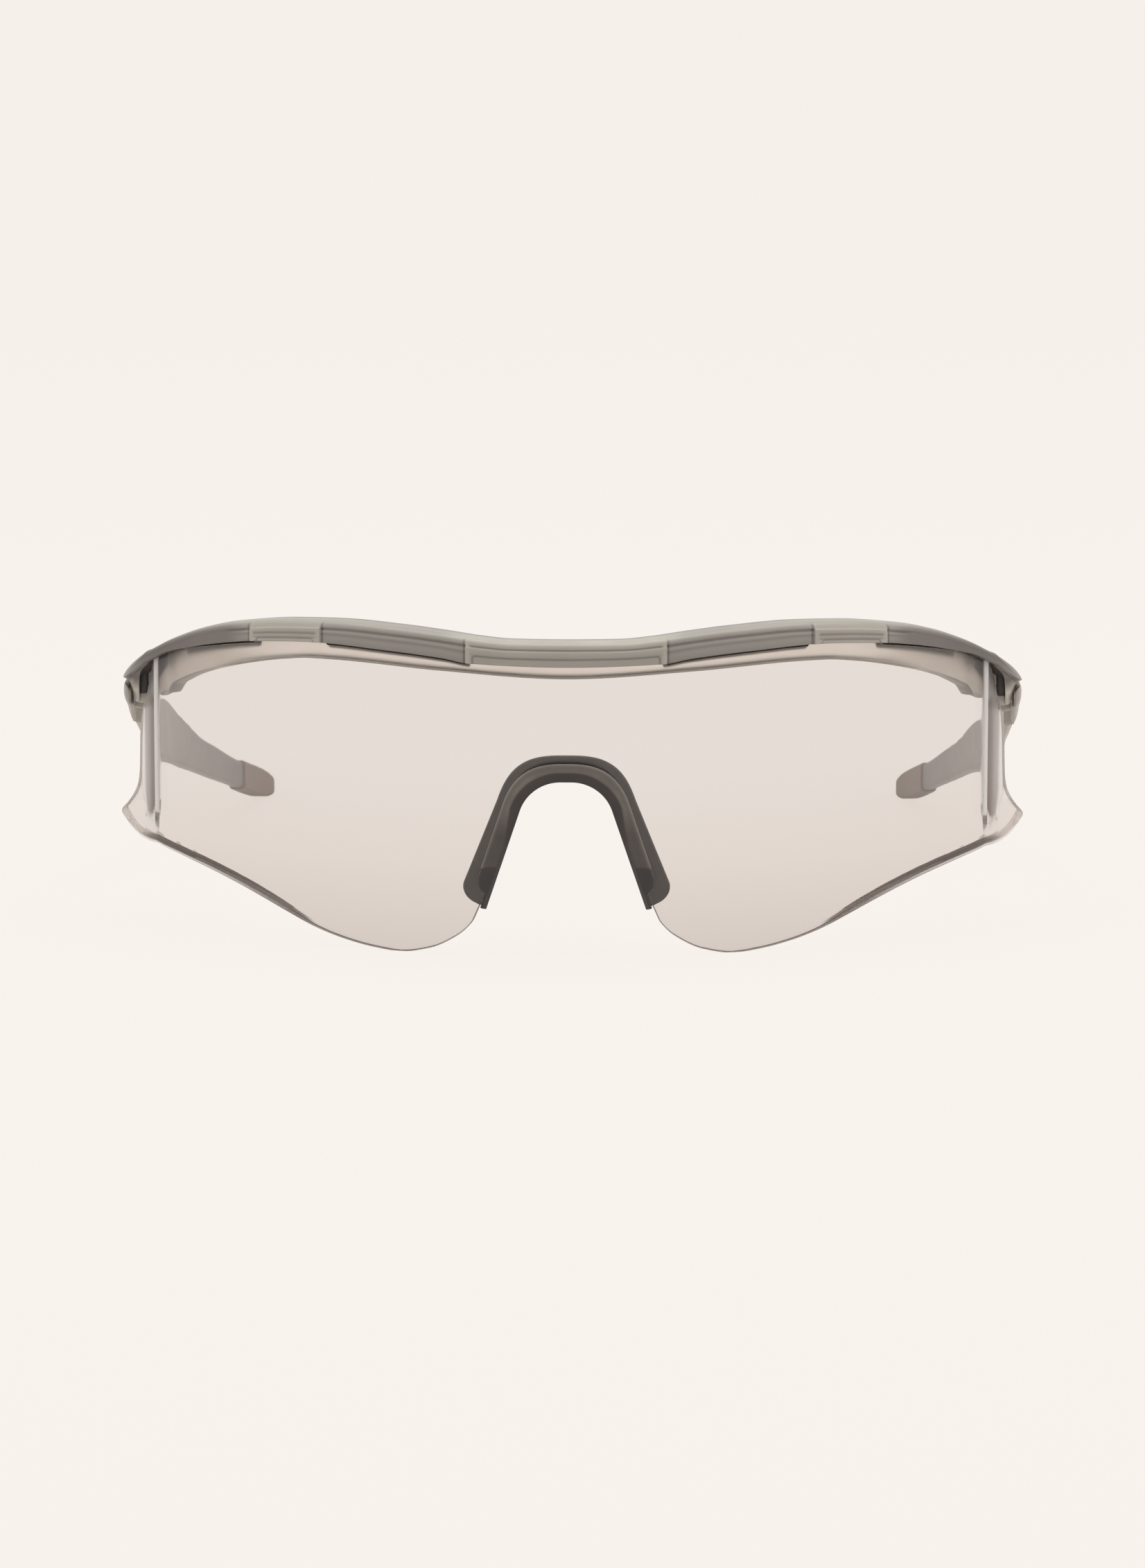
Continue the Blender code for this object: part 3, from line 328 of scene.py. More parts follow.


# %% [markdown]
# The nylon is moulded against an etched tool, which leaves a satin grain far below a millimetre. The
# whole bar is one colour in its mass, but it is a little see-through. The attribute `tone` paints light
# and shade into that colour: pale where the wall is thin and the light comes from behind, dark deep in a
# groove and in the vent slots, a painted highlight band along the crown and on the panels' ends, painted
# shade lines along the panels and oblongs, and lighter and darker bands up the face. The palest walls
# also let light through.

# %% Frosted grey nylon
NYLON_LADDER = [
    (0.05, 0.04, 0.037), (0.16, 0.14, 0.13), (0.27, 0.25, 0.225), (0.43, 0.4, 0.345), (1, 0.93, 0.86),
]
NYLON_CLOUDS = 0.08  # how far the noise shifts the tone
NYLON_GLOW = (0.87, 0.97, 0, 0.97)  # tones between which it turns see-through, and how far
nylon, tree, shader = finish(
    "frosted grey nylon", (0.3, 0.28, 0.26), 0.36, Subsurface_Weight=0.2,
    Subsurface_Radius=(1.0, 0.9, 0.8), Subsurface_Scale=0.001, IOR=1.53,
)
clouds = maths(tree, "MULTIPLY_ADD", noise(tree, 130, 3), NYLON_CLOUDS, mark(tree, "tone"))
feed(tree, ramp(tree, clouds, 0.04, 1.04, NYLON_LADDER), shader.inputs["Base Color"])
feed(tree, mapped(tree, noise(tree, 400), 0, 1, 0.32, 0.46), shader.inputs["Roughness"])
feed(tree, mapped(tree, mark(tree, "tone"), *NYLON_GLOW), shader.inputs["Transmission Weight"])
grain(tree, shader, 4200, 0.000005)
print("nylon:", len(tree.nodes), "nodes")

# %% [markdown]
# The shield is clear polycarbonate with smoke dye in its mass. Dye could be a flat tint of the
# surface, but absorption inside the solid is what makes a real tinted sheet, and it follows the
# thickness by itself. Where the sheet is folded back, light runs inside it for most of a centimetre
# and comes out brown; that brown is painted into the colour as painted shade, on the fold's wall, the
# hem and the rim, and a per-point attribute says where. `mist` says where the fold blurs what is
# behind. Where the mist is nearly full, on the crease and on the wing's cut edge, a white painted
# highlight goes into the colour. A Transparent shader for rays to the lamps lets daylight through to
# the table.

# %% Smoke polycarbonate
# Colours painted into the sheet: the fold's brown shade, and the white highlight of the crease and cut
# edge.
FOLD_SHADE_BROWN = (0.11, 0.068, 0.052)
EDGE_HIGHLIGHT_WHITE = (0.9, 0.87, 0.84)
CLEAR_LADDER = [(0.73, 0.69, 0.66), (0.83, 0.795, 0.77), (0.862, 0.84, 0.824)]
CLEAR_HEIGHT = 0.03  # the tint fades up to here
HIGHLIGHT_FROM, HIGHLIGHT_OPEN, SHADED_OPEN = 0.84, 0.35, 0.15
MIST_BLUR = 0.45
smoke, tree, shader = finish(
    "smoke polycarbonate", (0.97, 0.965, 0.96), 0.015, Transmission_Weight=1.0, IOR=1.5
)
spot = add(tree, "ShaderNodeSeparateXYZ", add(tree, "ShaderNodeTexCoord").outputs["Object"])
clear = ramp(tree, spot.outputs["Z"], 0.0, CLEAR_HEIGHT, CLEAR_LADDER)
# Painted highlight where the mist is nearly full, and painted brown shade where the fold's attribute is
# high.
highlight_share = mapped(tree, mark(tree, "mist"), HIGHLIGHT_FROM, 1)
shaded = mixed(tree, mark(tree, "dye_and_fold_shade"), clear, FOLD_SHADE_BROWN)
feed(tree, mixed(tree, highlight_share, shaded, EDGE_HIGHLIGHT_WHITE), shader.inputs["Base Color"])
open_part = mapped(tree, mark(tree, "dye_and_fold_shade"), 0, 1, 1, SHADED_OPEN)
highlight_part = mapped(tree, highlight_share, 0, 1, 1, HIGHLIGHT_OPEN)
feed(tree, maths(tree, "MULTIPLY", open_part, highlight_part), shader.inputs["Transmission Weight"])
polish = mapped(tree, noise(tree, 60), 0, 1, 0.01, 0.025)
feed(tree, maths(tree, "MULTIPLY_ADD", mark(tree, "mist"), MIST_BLUR, polish), shader.inputs["Roughness"])
dye_and_fold_shade = add(tree, "ShaderNodeVolumeAbsorption", Color=(0.6, 0.5, 0.43, 1), Density=60)
to_lamps = add(tree, "ShaderNodeLightPath").outputs["Is Shadow Ray"]
through_glass = add(tree, "ShaderNodeBsdfTransparent", Color=(0.9, 0.88, 0.86, 1))
either = add(tree, "ShaderNodeMixShader", to_lamps, shader.outputs[0], through_glass.outputs[0])
feed(tree, either.outputs[0], tree.nodes["Material Output"].inputs["Surface"])
feed(tree, dye_and_fold_shade.outputs[0], tree.nodes["Material Output"].inputs["Volume"])
print("smoke:", len(tree.nodes), "nodes")


# %% [markdown]
# Two rubbers: the nose bridge is nearly black with a silky skin, and its lower tabs are glossier;
# the grips are browner and softer. Wear makes rubber a little paler in patches, and the nose bridge's
# tone also carries painted highlights along the edges of its lip, so the colour climbs a ladder from
# dark to pale.


# %% Rubber and steel
RUBBER_WEAR, GLOSS_SHARE = 0.16, 0.45


def rubber(name, ladder, roughness, bump):
    """Rubber whose colour climbs the ladder with the piece's tone; gloss makes it smoother."""
    made, tree, shader = finish(name, ladder[1], roughness, Specular_IOR_Level=0.4)
    worn = maths(tree, "MULTIPLY_ADD", noise(tree, 260, 3), RUBBER_WEAR, mark(tree, "tone"))
    feed(tree, ramp(tree, worn, 0.08, 1.08, ladder), shader.inputs["Base Color"])
    smoother = mapped(tree, mark(tree, "gloss"), 0, 1, roughness, roughness * GLOSS_SHARE)
    feed(tree, smoother, shader.inputs["Roughness"])
    grain(tree, shader, 5200, bump)
    return made


NOSE_LADDER = [(0.02, 0.0175, 0.0155), (0.058, 0.047, 0.042), (0.13, 0.113, 0.1), (0.4, 0.35, 0.31)]
GRIP_LADDER = [(0.15, 0.118, 0.1), (0.235, 0.19, 0.165), (0.32, 0.27, 0.235)]
STEEL_LADDER = [(0.5, 0.5, 0.5), (0.6, 0.6, 0.6)]
nose_rubber = rubber("dark nose rubber", NOSE_LADDER, 0.5, 0.000003)
grip_rubber = rubber("brown grey grip rubber", GRIP_LADDER, 0.6, 0.000006)
steel, tree, shader = finish("brushed steel", (0.55, 0.55, 0.55), 0.3, Metallic=1.0)
feed(tree, mapped(tree, noise(tree, 900, 2, (1, 1, 12)), 0, 1, 0.22, 0.4), shader.inputs["Roughness"])
feed(tree, ramp(tree, noise(tree, 1500), 0.3, 0.7, STEEL_LADDER), shader.inputs["Base Color"])
print("rubbers and steel ready")

# %% [markdown]
# ## The shield
# The shield is one sheet, thermoformed and cut: it wraps round the face, turns back at a sharp side
# crease into a steep wall, and flares to a fin at each lower corner, while its lower edge folds back
# as a hem. One function per edge would need trimming. Instead the whole sheet is a map from two
# parameters: the column says how far round the face, and the row how far up between the lower and
# the upper edge.

# %% Edges of the shield
LIP_SHARES = (
    (0, 0.881), (0.225, 0.889), (0.285, 0.902), (0.415, 0.918), (0.575, 0.929),
    (0.725, 0.917), (0.815, 0.898), (0.895, 0.871), (0.95, 0.847), (1, LIP_END_SHARE),
)
LOBE_SHARES = (
    (0.224, 0.100), (0.258, 0.058), (0.323, 0.016), (0.393, 0), (0.455, 0.008),
    (0.522, 0.025), (0.589, 0.051), (0.654, 0.085), (0.721, 0.120), (0.79, 0.152),
    (0.858, 0.178), (0.93, 0.199), (1, 0.218), (1.04, 0.236), (1.095, 0.292),
)
ARCH_TOP, ARCH_RADIUS = 0.0279, 0.0067
LEAN_DEGREES = 18.6
NOSE_LEAN = math.radians(LEAN_DEGREES)
NOSE_FOOT = (0.0119, 0.0093)
BRIDGE_WEB = 0.0007
LOBE_START_SHARE = 0.161
LEG_OUT = np.array([math.cos(NOSE_LEAN), math.sin(NOSE_LEAN)])
LEG_DISTANCE = float(LEG_OUT @ NOSE_FOOT)
CROWN_Z = ARCH_TOP - ARCH_RADIUS
CROWN_X = (LEG_DISTANCE - ARCH_RADIUS - CROWN_Z * LEG_OUT[1]) / LEG_OUT[0]
GROOVE_DEPTH, VENT_GAP, WING_TOP_GAP = 0.0013, 0.00045, 0.0006
PAD_MIDDLE_HALF = 0.0154
PAD_SIDE_MIDDLE, PAD_SIDE_HALF = LENS_HALF_WIDTH * 0.651, 0.0057
PAD_SIDE = (PAD_SIDE_MIDDLE - PAD_SIDE_HALF, PAD_SIDE_MIDDLE + PAD_SIDE_HALF)
LENS_HELD_FROM = LENS_HALF_WIDTH - 0.0051
VENT_NARROWS_AT = 0.056
PAD_STEP = 0.0006


def share_curve(shares, x):
    """Height of an outline at x, from its table of shares of the half width and the front height."""
    return FRONT_HEIGHT * through(shares, np.abs(x) / LENS_HALF_WIDTH)


def arch_height(x, spread):
    """The nose arch moved outward by spread: a circle of radius r above, a leaning straight leg below."""
    reach = ARCH_RADIUS + spread
    along = np.clip(x - CROWN_X, 0, reach * LEG_OUT[0])
    leg = (LEG_DISTANCE + spread - x * LEG_OUT[0]) / LEG_OUT[1]
    return np.where(x - CROWN_X < reach * LEG_OUT[0], CROWN_Z + np.sqrt(reach**2 - along**2), leg)


def leg_x(z, spread):
    """X of the arch's leg at a height, moved outward by spread."""
    return (LEG_DISTANCE + spread - z * LEG_OUT[1]) / LEG_OUT[0]


LENS_ARCH_SPREAD = BRIDGE_WEB + FIT_GAP
LOBE_START_X = float(leg_x(LOBE_START_SHARE * FRONT_HEIGHT, LENS_ARCH_SPREAD))


def lens_bottom(x):
    """Lower edge: the nose arch, then the round lobe and the rise to the fin."""
    shares = ((LOBE_START_X / LENS_HALF_WIDTH, LOBE_START_SHARE),) + LOBE_SHARES
    return np.where(x < LOBE_START_X, arch_height(x, LENS_ARCH_SPREAD), share_curve(shares, x))


def in_window(x, soft):
    """1 where one of the shield's tabs reaches up into the bar."""
    return window(x, -PAD_MIDDLE_HALF, PAD_MIDDLE_HALF, soft) + window(x, *PAD_SIDE, soft)


def held_part(x):
    """1 where the bar holds the shield: at its tabs, and from just before the crease outwards."""
    return np.maximum(in_window(x, PAD_STEP), beyond(x - LENS_HELD_FROM, PAD_STEP))


def lens_top(x):
    """Upper edge: up in the bar's groove at the tabs and the ends, a slot's width below the lip between."""
    lower = np.interp(x, (LENS_HELD_FROM, LENS_HALF_WIDTH), (0, WING_TOP_GAP))
    held = held_part(x)
    rise = GROOVE_DEPTH - FIT_GAP - lower
    slot = VENT_GAP * np.interp(x, (PAD_SIDE[1], VENT_NARROWS_AT, LENS_HELD_FROM), (1, 0.75, 0.1))
    return share_curve(LIP_SHARES, x) + rise * held - slot * (1 - held)


print("arch's crown is round for", round((ARCH_RADIUS + LENS_ARCH_SPREAD) * 1000, 2), "mm")

# %% [markdown]
# The rows crowd together at the fold. There the depth follows half of (s + the root of s squared
# plus a small square), where s runs from 1 at the edge to 0 at the fold: far away it is a straight
# slope, and at the fold it bends over within about half a millimetre.

# %% The folded sheet as a grid
WING_EDGE_SHARES = (
    (0, 1), (0.06, 0.98), (0.13, 0.81), (0.2, 0.65), (0.27, 0.55), (0.36, 0.51), (0.55, 0.49),
    (0.7, 0.42), (0.8, 0.31), (0.9, 0.23), (1, 0.18),
)
WALL_SHARES = ((0, 0), (0.2, 0.5), (0.4, 1), (1, 1))
FLANGE_SHARES = ((0, 0), (0.4, 0), (0.6, 0.22), (0.8, 0.6), (1, 1))
BACK_SHARES = ((0, 0), (0.2, 0.4), (0.4, 0.76), (0.6, 0.88), (0.8, 0.96), (1, 1))
WING_FORM_SHARES = ((0, 0), (0.1, 0), (0.16, 0.3), (0.24, 0.85), (0.3, 1), (1, 1))
WING_WALL_SHARE = 0.8
HEM_FROM_SHARE = 0.6
HEM_GROW_SHARES = ((0, 0), (0.5, 0.42), (1, 1))
TOP_FALL = (0.851 - 0.785) * FRONT_HEIGHT  # how far the wing's upper edge falls towards its rear end
TIP_BLUNTNESS = 2.6
FOLD_SOFTNESS = 0.15
# Painted brown shade of the fold: how strong it is on the hem, and where it lies on the wing's wall.
HEM_BAND, HEM_SHADE, HEM_MIST = 0.45, 0.58, 0.7
WALL_SHARE = 0.4  # the wall ends, and the flange begins, at this share of the wing
WALL_SHADE_END, WALL_SHADE_SAG = 0.0163, 0.009
WALL_PALE_FROM, WALL_PALE_OVER = 0.0355, 0.0015
WALL_SHADE_SHARES = (
    (0, 0.3), (0.07, 1), (0.3, 0.95), (0.5, 0.8), (0.72, 0.55), (0.9, 0.25), (1, 0.05),
)
CREASE_BLUR_HIGHLIGHT_WIDTH, CREASE_BLUR_HIGHLIGHT_SOFT = 0.0013, 0.0006
FACE_STEP = 0.0004
HEM_ROWS = np.linspace(0, 1.7, 18)
FACE_ROWS = np.linspace(0, 1, 46)[1:] ** 0.97
WING_STEPS = np.linspace(0, 1, 46)[1:, None]


def shield_front():
    """Front of the left half: the face to the crease, then wall and flange, as (columns, rows, 3).

    With it comes how much brown shade is painted in and how misty the sheet is, both as (columns, rows).
    """
    x = places(0, LENS_HALF_WIDTH, FACE_STEP, (PAD_MIDDLE_HALF, *PAD_SIDE, LENS_HELD_FROM, LOBE_START_X))
    hem = np.clip((x / LENS_HALF_WIDTH - HEM_FROM_SHARE) / (1 - HEM_FROM_SHARE), 0, 1)
    depth = HEM_DEPTH * through(HEM_GROW_SHARES, hem)
    height = HEM_LEAST + (HEM_HEIGHT - HEM_LEAST) * hem
    low, high = lens_bottom(x), lens_top(x)
    fold = low + height * HEM_ROWS[-1]
    hem_z = low[:, None] + height[:, None] * HEM_ROWS
    z = np.concatenate([hem_z, fold[:, None] + (high - fold)[:, None] * FACE_ROWS], 1)
    left = 1 - (z - low[:, None]) / height[:, None]
    bend = (left + np.sqrt(left**2 + FOLD_SOFTNESS**2)) / 2
    bend = (bend * (left > 1 - HEM_ROWS[-1])).clip(0, 1)
    face_y = lens_face(x[:, None], z) + depth[:, None] * bend
    face = np.stack([np.repeat(x[:, None], z.shape[1], 1), face_y, z], -1)
    # Painted shade: the hem's folded band is brown.
    in_band, grown = beyond(left - HEM_BAND, 0.1), ease(hem / 0.08)[:, None]
    hem_shade = in_band * (HEM_SHADE + 0.15 * left.clip(0, 1)) * grown
    side_z, side_bend, side_shade = z[-1], bend[-1], hem_shade[-1]
    part = (side_z - side_z[0]) / (side_z[-1] - side_z[0])
    reach = WING_REACH * through(WING_EDGE_SHARES, part)
    wall = np.minimum(WING_WALL_OUT, reach * WING_WALL_SHARE)
    formed = through(WING_FORM_SHARES, part)
    tip_rise = lens_bottom(LENS_HALF_WIDTH + WING_REACH) - side_z[0]
    way = WING_STEPS
    back = through(BACK_SHARES, way)
    z = side_z + tip_rise * way**TIP_BLUNTNESS * (1 - part) ** 4 - TOP_FALL * back * part**6
    bent = wall * through(WALL_SHARES, way) + (reach - wall) * through(FLANGE_SHARES, way)
    out = LENS_HALF_WIDTH + reach * way * (1 - formed) + bent * formed
    y = lens_face(LENS_HALF_WIDTH, z) + WING_DEPTH * (way * (1 - formed) + back * formed)
    y = y + depth[-1] * (1 - way / 2) * side_bend
    # Painted shade: brown on the wing's wall, weaker towards its top and across the flange.
    across = np.clip(way / WALL_SHARE, 0, 1)
    on_wall = beyond(z - WALL_SHADE_END - WALL_SHADE_SAG * (across - 0.55) ** 2, 0.0006)
    paler = 1 - 0.45 * ease((z - WALL_PALE_FROM) / WALL_PALE_OVER)
    wall_shade = through(WALL_SHADE_SHARES, across) * on_wall * paler
    side_shade = side_shade * (1 - 0.7 * ease((way - 0.12) / 0.25))
    mist = np.maximum(0.8 * on_wall, 0.3) * (1 - 0.5 * ease((way - WALL_SHARE) / 0.2)) * np.ones_like(z)
    fold_shades = np.concatenate([hem_shade, np.maximum(wall_shade, side_shade)])
    hem_mist = HEM_MIST * in_band * grown
    # The crease gets full mist: it blurs, and takes a painted white highlight.
    crease = ease((x - LENS_HALF_WIDTH + CREASE_BLUR_HIGHLIGHT_WIDTH) / CREASE_BLUR_HIGHLIGHT_SOFT)[:, None]
    crease = crease * ease((face[..., 2] - WALL_SHADE_END) / 0.001)
    mists = np.concatenate([np.maximum(hem_mist, crease), mist])
    return np.concatenate([face, np.stack([out, y, z], -1)]), np.stack([fold_shades, mists], -1)


# %% [markdown]
# The sheet gets its 1.6 mm wall by stepping inwards along the surface's normals. Right at a fold
# neighbouring normals would cross, so they are averaged with their neighbours first. A polished
# rounded rim joins the two faces.


# %% Thickness and rim
NORMAL_ROUNDS = 30
# The face's rim takes painted brown shade and some mist; the wing's cut edge takes full mist, which paints
# a white highlight.
RIM_BULGE, RIM_SHADE_AND_MIST, CUT_EDGE_HIGHLIGHT_MARKS = 0.00018, np.array([0.95, 0.8]), (0, 1)  # marks: dye, mist
RIM_STEPS = 7


def sheet(front, marks, rear_marks, thickness, bulge, rim_marks):
    """Closed shell from a grid: the front, the same grid moved in along soft normals, and a round rim.

    Ring t of the rim is half a turn from the front edge to the rear edge, bulging by sin t. Marks are
    values per point of the grid; they come back for every point of the shell.
    """
    columns, rows, _ = front.shape
    normal = np.cross(np.gradient(front, axis=1), np.gradient(front, axis=0))
    normal /= np.linalg.norm(normal, axis=-1, keepdims=True)
    for _ in range(NORMAL_ROUNDS):
        for axis in (0, 1):
            wide = np.concatenate([np.take(normal, [0], axis), normal, np.take(normal, [-1], axis)], axis)
            size = normal.shape[axis]
            before = np.take(wide, np.arange(size), axis)
            after = np.take(wide, np.arange(size) + 2, axis)
            normal = (before + 2 * normal + after) / 4
    normal /= np.linalg.norm(normal, axis=-1, keepdims=True)
    if normal[columns // 2, rows // 2, 1] < 0:
        normal = -normal
    rear = front + normal * thickness
    number = np.arange(columns * rows).reshape(columns, rows)
    loop = np.concatenate([number[:, 0], number[-1, 1:], number[-2::-1, -1], number[0, -2:0:-1]])
    flat, flat_rear = front.reshape(-1, 3), rear.reshape(-1, 3)
    edge, edge_rear = flat[loop], flat_rear[loop]
    tangent = np.roll(edge, -1, 0) - np.roll(edge, 1, 0)
    out = np.cross(edge_rear - edge, tangent)
    out /= np.linalg.norm(out, axis=-1, keepdims=True)
    if np.sum(out * (edge - flat.mean(0))) < 0:
        out = -out
    turn = np.linspace(0, math.pi, RIM_STEPS + 2)[1:-1, None, None]
    rim = edge + (edge_rear - edge) * (1 - np.cos(turn)) / 2 + out * bulge * np.sin(turn)
    points = np.concatenate([flat, flat_rear, rim.reshape(-1, 3)])
    points[:, 2] = np.maximum(points[:, 2], 0)
    face = quads(columns, rows, False)
    size, around = columns * rows, len(loop)
    rim_rings = 2 * size + np.arange(RIM_STEPS * around).reshape(RIM_STEPS, around)
    rings = np.concatenate([[loop], rim_rings, [size + loop]])
    strip = quads(RIM_STEPS + 2, around, True)
    fours = np.concatenate([face, face[:, ::-1] + size, rings.reshape(-1)[strip]])
    flat_marks, flat_rear_marks = marks.reshape(size, -1), rear_marks.reshape(size, -1)
    on_face = ease((LENS_HALF_WIDTH + 0.001 - np.abs(edge[:, :1])) / 0.002)
    own = rim_marks * on_face + (1 - on_face) * CUT_EDGE_HIGHLIGHT_MARKS
    rim = np.maximum((flat_marks[loop] + flat_rear_marks[loop]) / 2, own)
    marks = np.concatenate([flat_marks, flat_rear_marks, np.tile(rim, (RIM_STEPS, 1))])
    return outward(points, fours, np.zeros((0, 3), int)), marks


half, half_marks = shield_front()
whole = np.concatenate([half[:0:-1] * (-1, 1, 1), half])
whole_marks = np.concatenate([half_marks[:0:-1], half_marks])
near_crease = np.abs(whole[..., 0]) > LENS_HALF_WIDTH - 0.0018
front_only = (near_crease & (whole[..., 2] > WALL_SHADE_END))[..., None]
rear_marks = whole_marks * (1 - front_only)
shell, marks = sheet(whole, whole_marks, rear_marks, LENS_THICKNESS, RIM_BULGE, RIM_SHADE_AND_MIST)
values = {"dye_and_fold_shade": marks[:, 0], "mist": marks[:, 1]}
piece("shield", [shell], smoke, "front", ["shield_lens"], values)

# %% [markdown]
# ## The brow bar
# The bar is a moulding with a constant idea and changing sizes: a lip in front of the shield, a round
# bead above it, a rear wall, and a groove between them for the shield's tabs. Sweeping one fixed
# section would not do, as every height changes along the way. So each corner of the section gets its
# own rail, a curve from the middle of the brow to the hinge, and the rings are read across the rails.

# %% Rails of the brow bar
TOP_SHARES = (
    (0, 0.958), (0.13, 0.959), (0.2, 0.966), (0.29, 0.980), (0.39, 0.992), (0.52, 1),
    (0.65, 0.993), (0.79, 0.967), (0.86, 0.941), (0.925, 0.904), (1, 0.847),
)
REAR_SHARES = (
    (0, 0.836), (0.3, 0.854), (0.56, 0.870), (0.62, 0.869), (0.687, 0.859), (0.73, 0.849),
    (0.821, 0.82), (0.905, 0.782), (0.96, 0.742), (1, 0.708),
)
END_TOP_SHARES = (0.847, 0.837, 0.826, 0.815, 0.806, 0.799, 0.789)  # over the lug
END_CREST_SHARES = (0.847, 0.831, 0.815, 0.798, 0.779, 0.756, 0.727)  # along the outer side
END_LIP_SHARES = (0.808, 0.791, 0.772, 0.754, 0.739, 0.729, 0.723)
END_HOOK_SHARES = (0.808, 0.791, 0.775, 0.759, 0.738, 0.701, 0.648)  # lower edge on the inner side
END_DROP_SHARES = (0.025, 0.029, 0.034, 0.040, 0.045, 0.048, 0.042)
REAR_END_SHARE = 0.68
BAR_ROUND, ROOF_END, REAR_WALL_END, CHEEK_THICKNESS = 0.0013, 0.0009, 0.0007, 0.0011
END_Y = LUG_FRONT + LUG_WALL * 0.8
BEND_X = LENS_HALF_WIDTH - 0.00255  # where the rear wall leaves the shield's wrap

station_x = places(0, LENS_HALF_WIDTH, 0.0006, (PAD_MIDDLE_HALF, *PAD_SIDE), 0.0016, 0.00012)
end_way = np.linspace(0, 1, 52)[1:]
along = np.append(station_x, np.full(len(end_way), LENS_HALF_WIDTH))
ended = np.append(np.zeros(len(station_x)), end_way)


def face_normal(x):
    """Unit vectors in plan out of the shield's face: the sine and cosine of the wrap angle at x."""
    lean = np.arcsin(np.asarray(x, float) / LENS_RADIUS)
    return np.stack([np.sin(lean), -np.cos(lean)], -1)


def rail(ahead, end_x, bend_x=LENS_HALF_WIDTH, end_y=END_Y):
    """Plan path a distance ahead of the shield's face to bend_x, then a cubic that turns back to the lug.

    A rail that bends before the crease makes the first seventh of its turn ahead of it.
    """
    way = np.where(along < bend_x, 0, ended)
    if bend_x < LENS_HALF_WIDTH:
        first = (along - bend_x) / (LENS_HALF_WIDTH - bend_x) / 7
        way = np.where(along < bend_x, 0, np.where(ended > 0, (1 + 6 * ended) / 7, first))
    x = np.minimum(along, bend_x)
    body = np.stack([x, lens_face(x, share_curve(LIP_SHARES, x))], -1)
    body = body + face_normal(x) * (np.ones(len(x)) * ahead)[:, None]
    start = body[-1]
    span = end_y - CREASE_Y
    leave = np.array([-face_normal(bend_x)[1], face_normal(bend_x)[0]]) * span
    t = way[:, None]
    turn = start * (1 - ease(t)) + np.array([end_x, end_y]) * ease(t) + leave * t * (1 - t) ** 2
    turn = turn - np.array([0, span]) * t**2 * (1 - t)
    return np.where(t > 0, turn, body)


def over_end(shares):
    """Heights along the bar's end, from seven shares of the front height at even steps."""
    return through(np.stack([np.linspace(0, 1, 7), shares], 1), ended) * FRONT_HEIGHT


def rail_height(shares, end_shares):
    """Height along the bar from its table, then along its end from the seven end shares."""
    return np.where(ended > 0, over_end(end_shares), share_curve(shares, along))


top = rail_height(TOP_SHARES, END_CREST_SHARES)
top_inner = rail_height(TOP_SHARES, END_TOP_SHARES)
low = rail_height(LIP_SHARES, END_LIP_SHARES)
hook = rail_height(LIP_SHARES, END_HOOK_SHARES)
drop = np.where(ended > 0, over_end(END_DROP_SHARES), BAR_ROUND)
drop = np.minimum(drop, (top - low) * (0.6 + 0.32 * ease(ended * 1.5)))
groove = np.where(ended > 0, top_inner - ROOF_END, low + GROOVE_DEPTH)
rear_fall = (REAR_SHARES[-1][1] - REAR_END_SHARE) * FRONT_HEIGHT
rear = share_curve(REAR_SHARES, along) - rear_fall * ease(ended * 1.6)
print("bar stations on each side:", len(along))

# %% [markdown]
# The bar's face is not plain. Over each tab of the shield it stands proud as a panel whose ends carry a
# painted highlight, and in the panel's lower part an oblong with round corners is pressed in. Between the
# panels a fine line runs under the round bead. These lines are a fifth of a millimetre wide, so they
# are drawn as a map of the face: distance to each edge first, then relief and tone from it. The tone
# paints light and shade: lighter and darker bands up the face, painted shade lines along the oblong and
# just outside each panel, and the crown's light band as a painted highlight.

# %% Relief and tone of the bar's face
FACE_RECESS, BEAD_GROOVE, OBLONG_DEPTH = 0.00014, 0.00022, 0.00012
FACE_STEPS = np.linspace(0.04, 1, 20)
OBLONG_FROM_END, OBLONG_CORNER = 0.0011, 0.0005
PANEL_EDGE, OBLONG_TOP_MIDDLE, OBLONG_TOP_SIDE = 0.0002, 0.475, 0.28
BEAD_LINE_AT, BEAD_LINE_WIDTH = 0.975, 0.00016
# Tones up the face as painted light and shade: lighter bands, darker bands, and dips that paint thin shade
# lines.
PLAIN_TONES = (
    (0, 0.4), (0.1, 0.44), (0.37, 0.52), (0.53, 0.5), (0.615, 0.34), (0.7, 0.5), (0.8, 0.6),
    (0.88, 0.5), (0.945, 0.3), (1, 0.5),
)
MIDDLE_TONES = (
    (0, 0.5), (0.08, 0.6), (0.42, 0.6), (0.5, 0.55), (0.73, 0.64), (0.9, 0.68), (0.96, 0.5), (1, 0.22),
)
SIDE_TONES = (
    (0, 0.5), (0.06, 0.64), (0.24, 0.78), (0.34, 0.5), (0.5, 0.66), (0.58, 0.6), (0.65, 0.34),
    (0.72, 0.52), (0.85, 0.68), (1, 0.7),
)
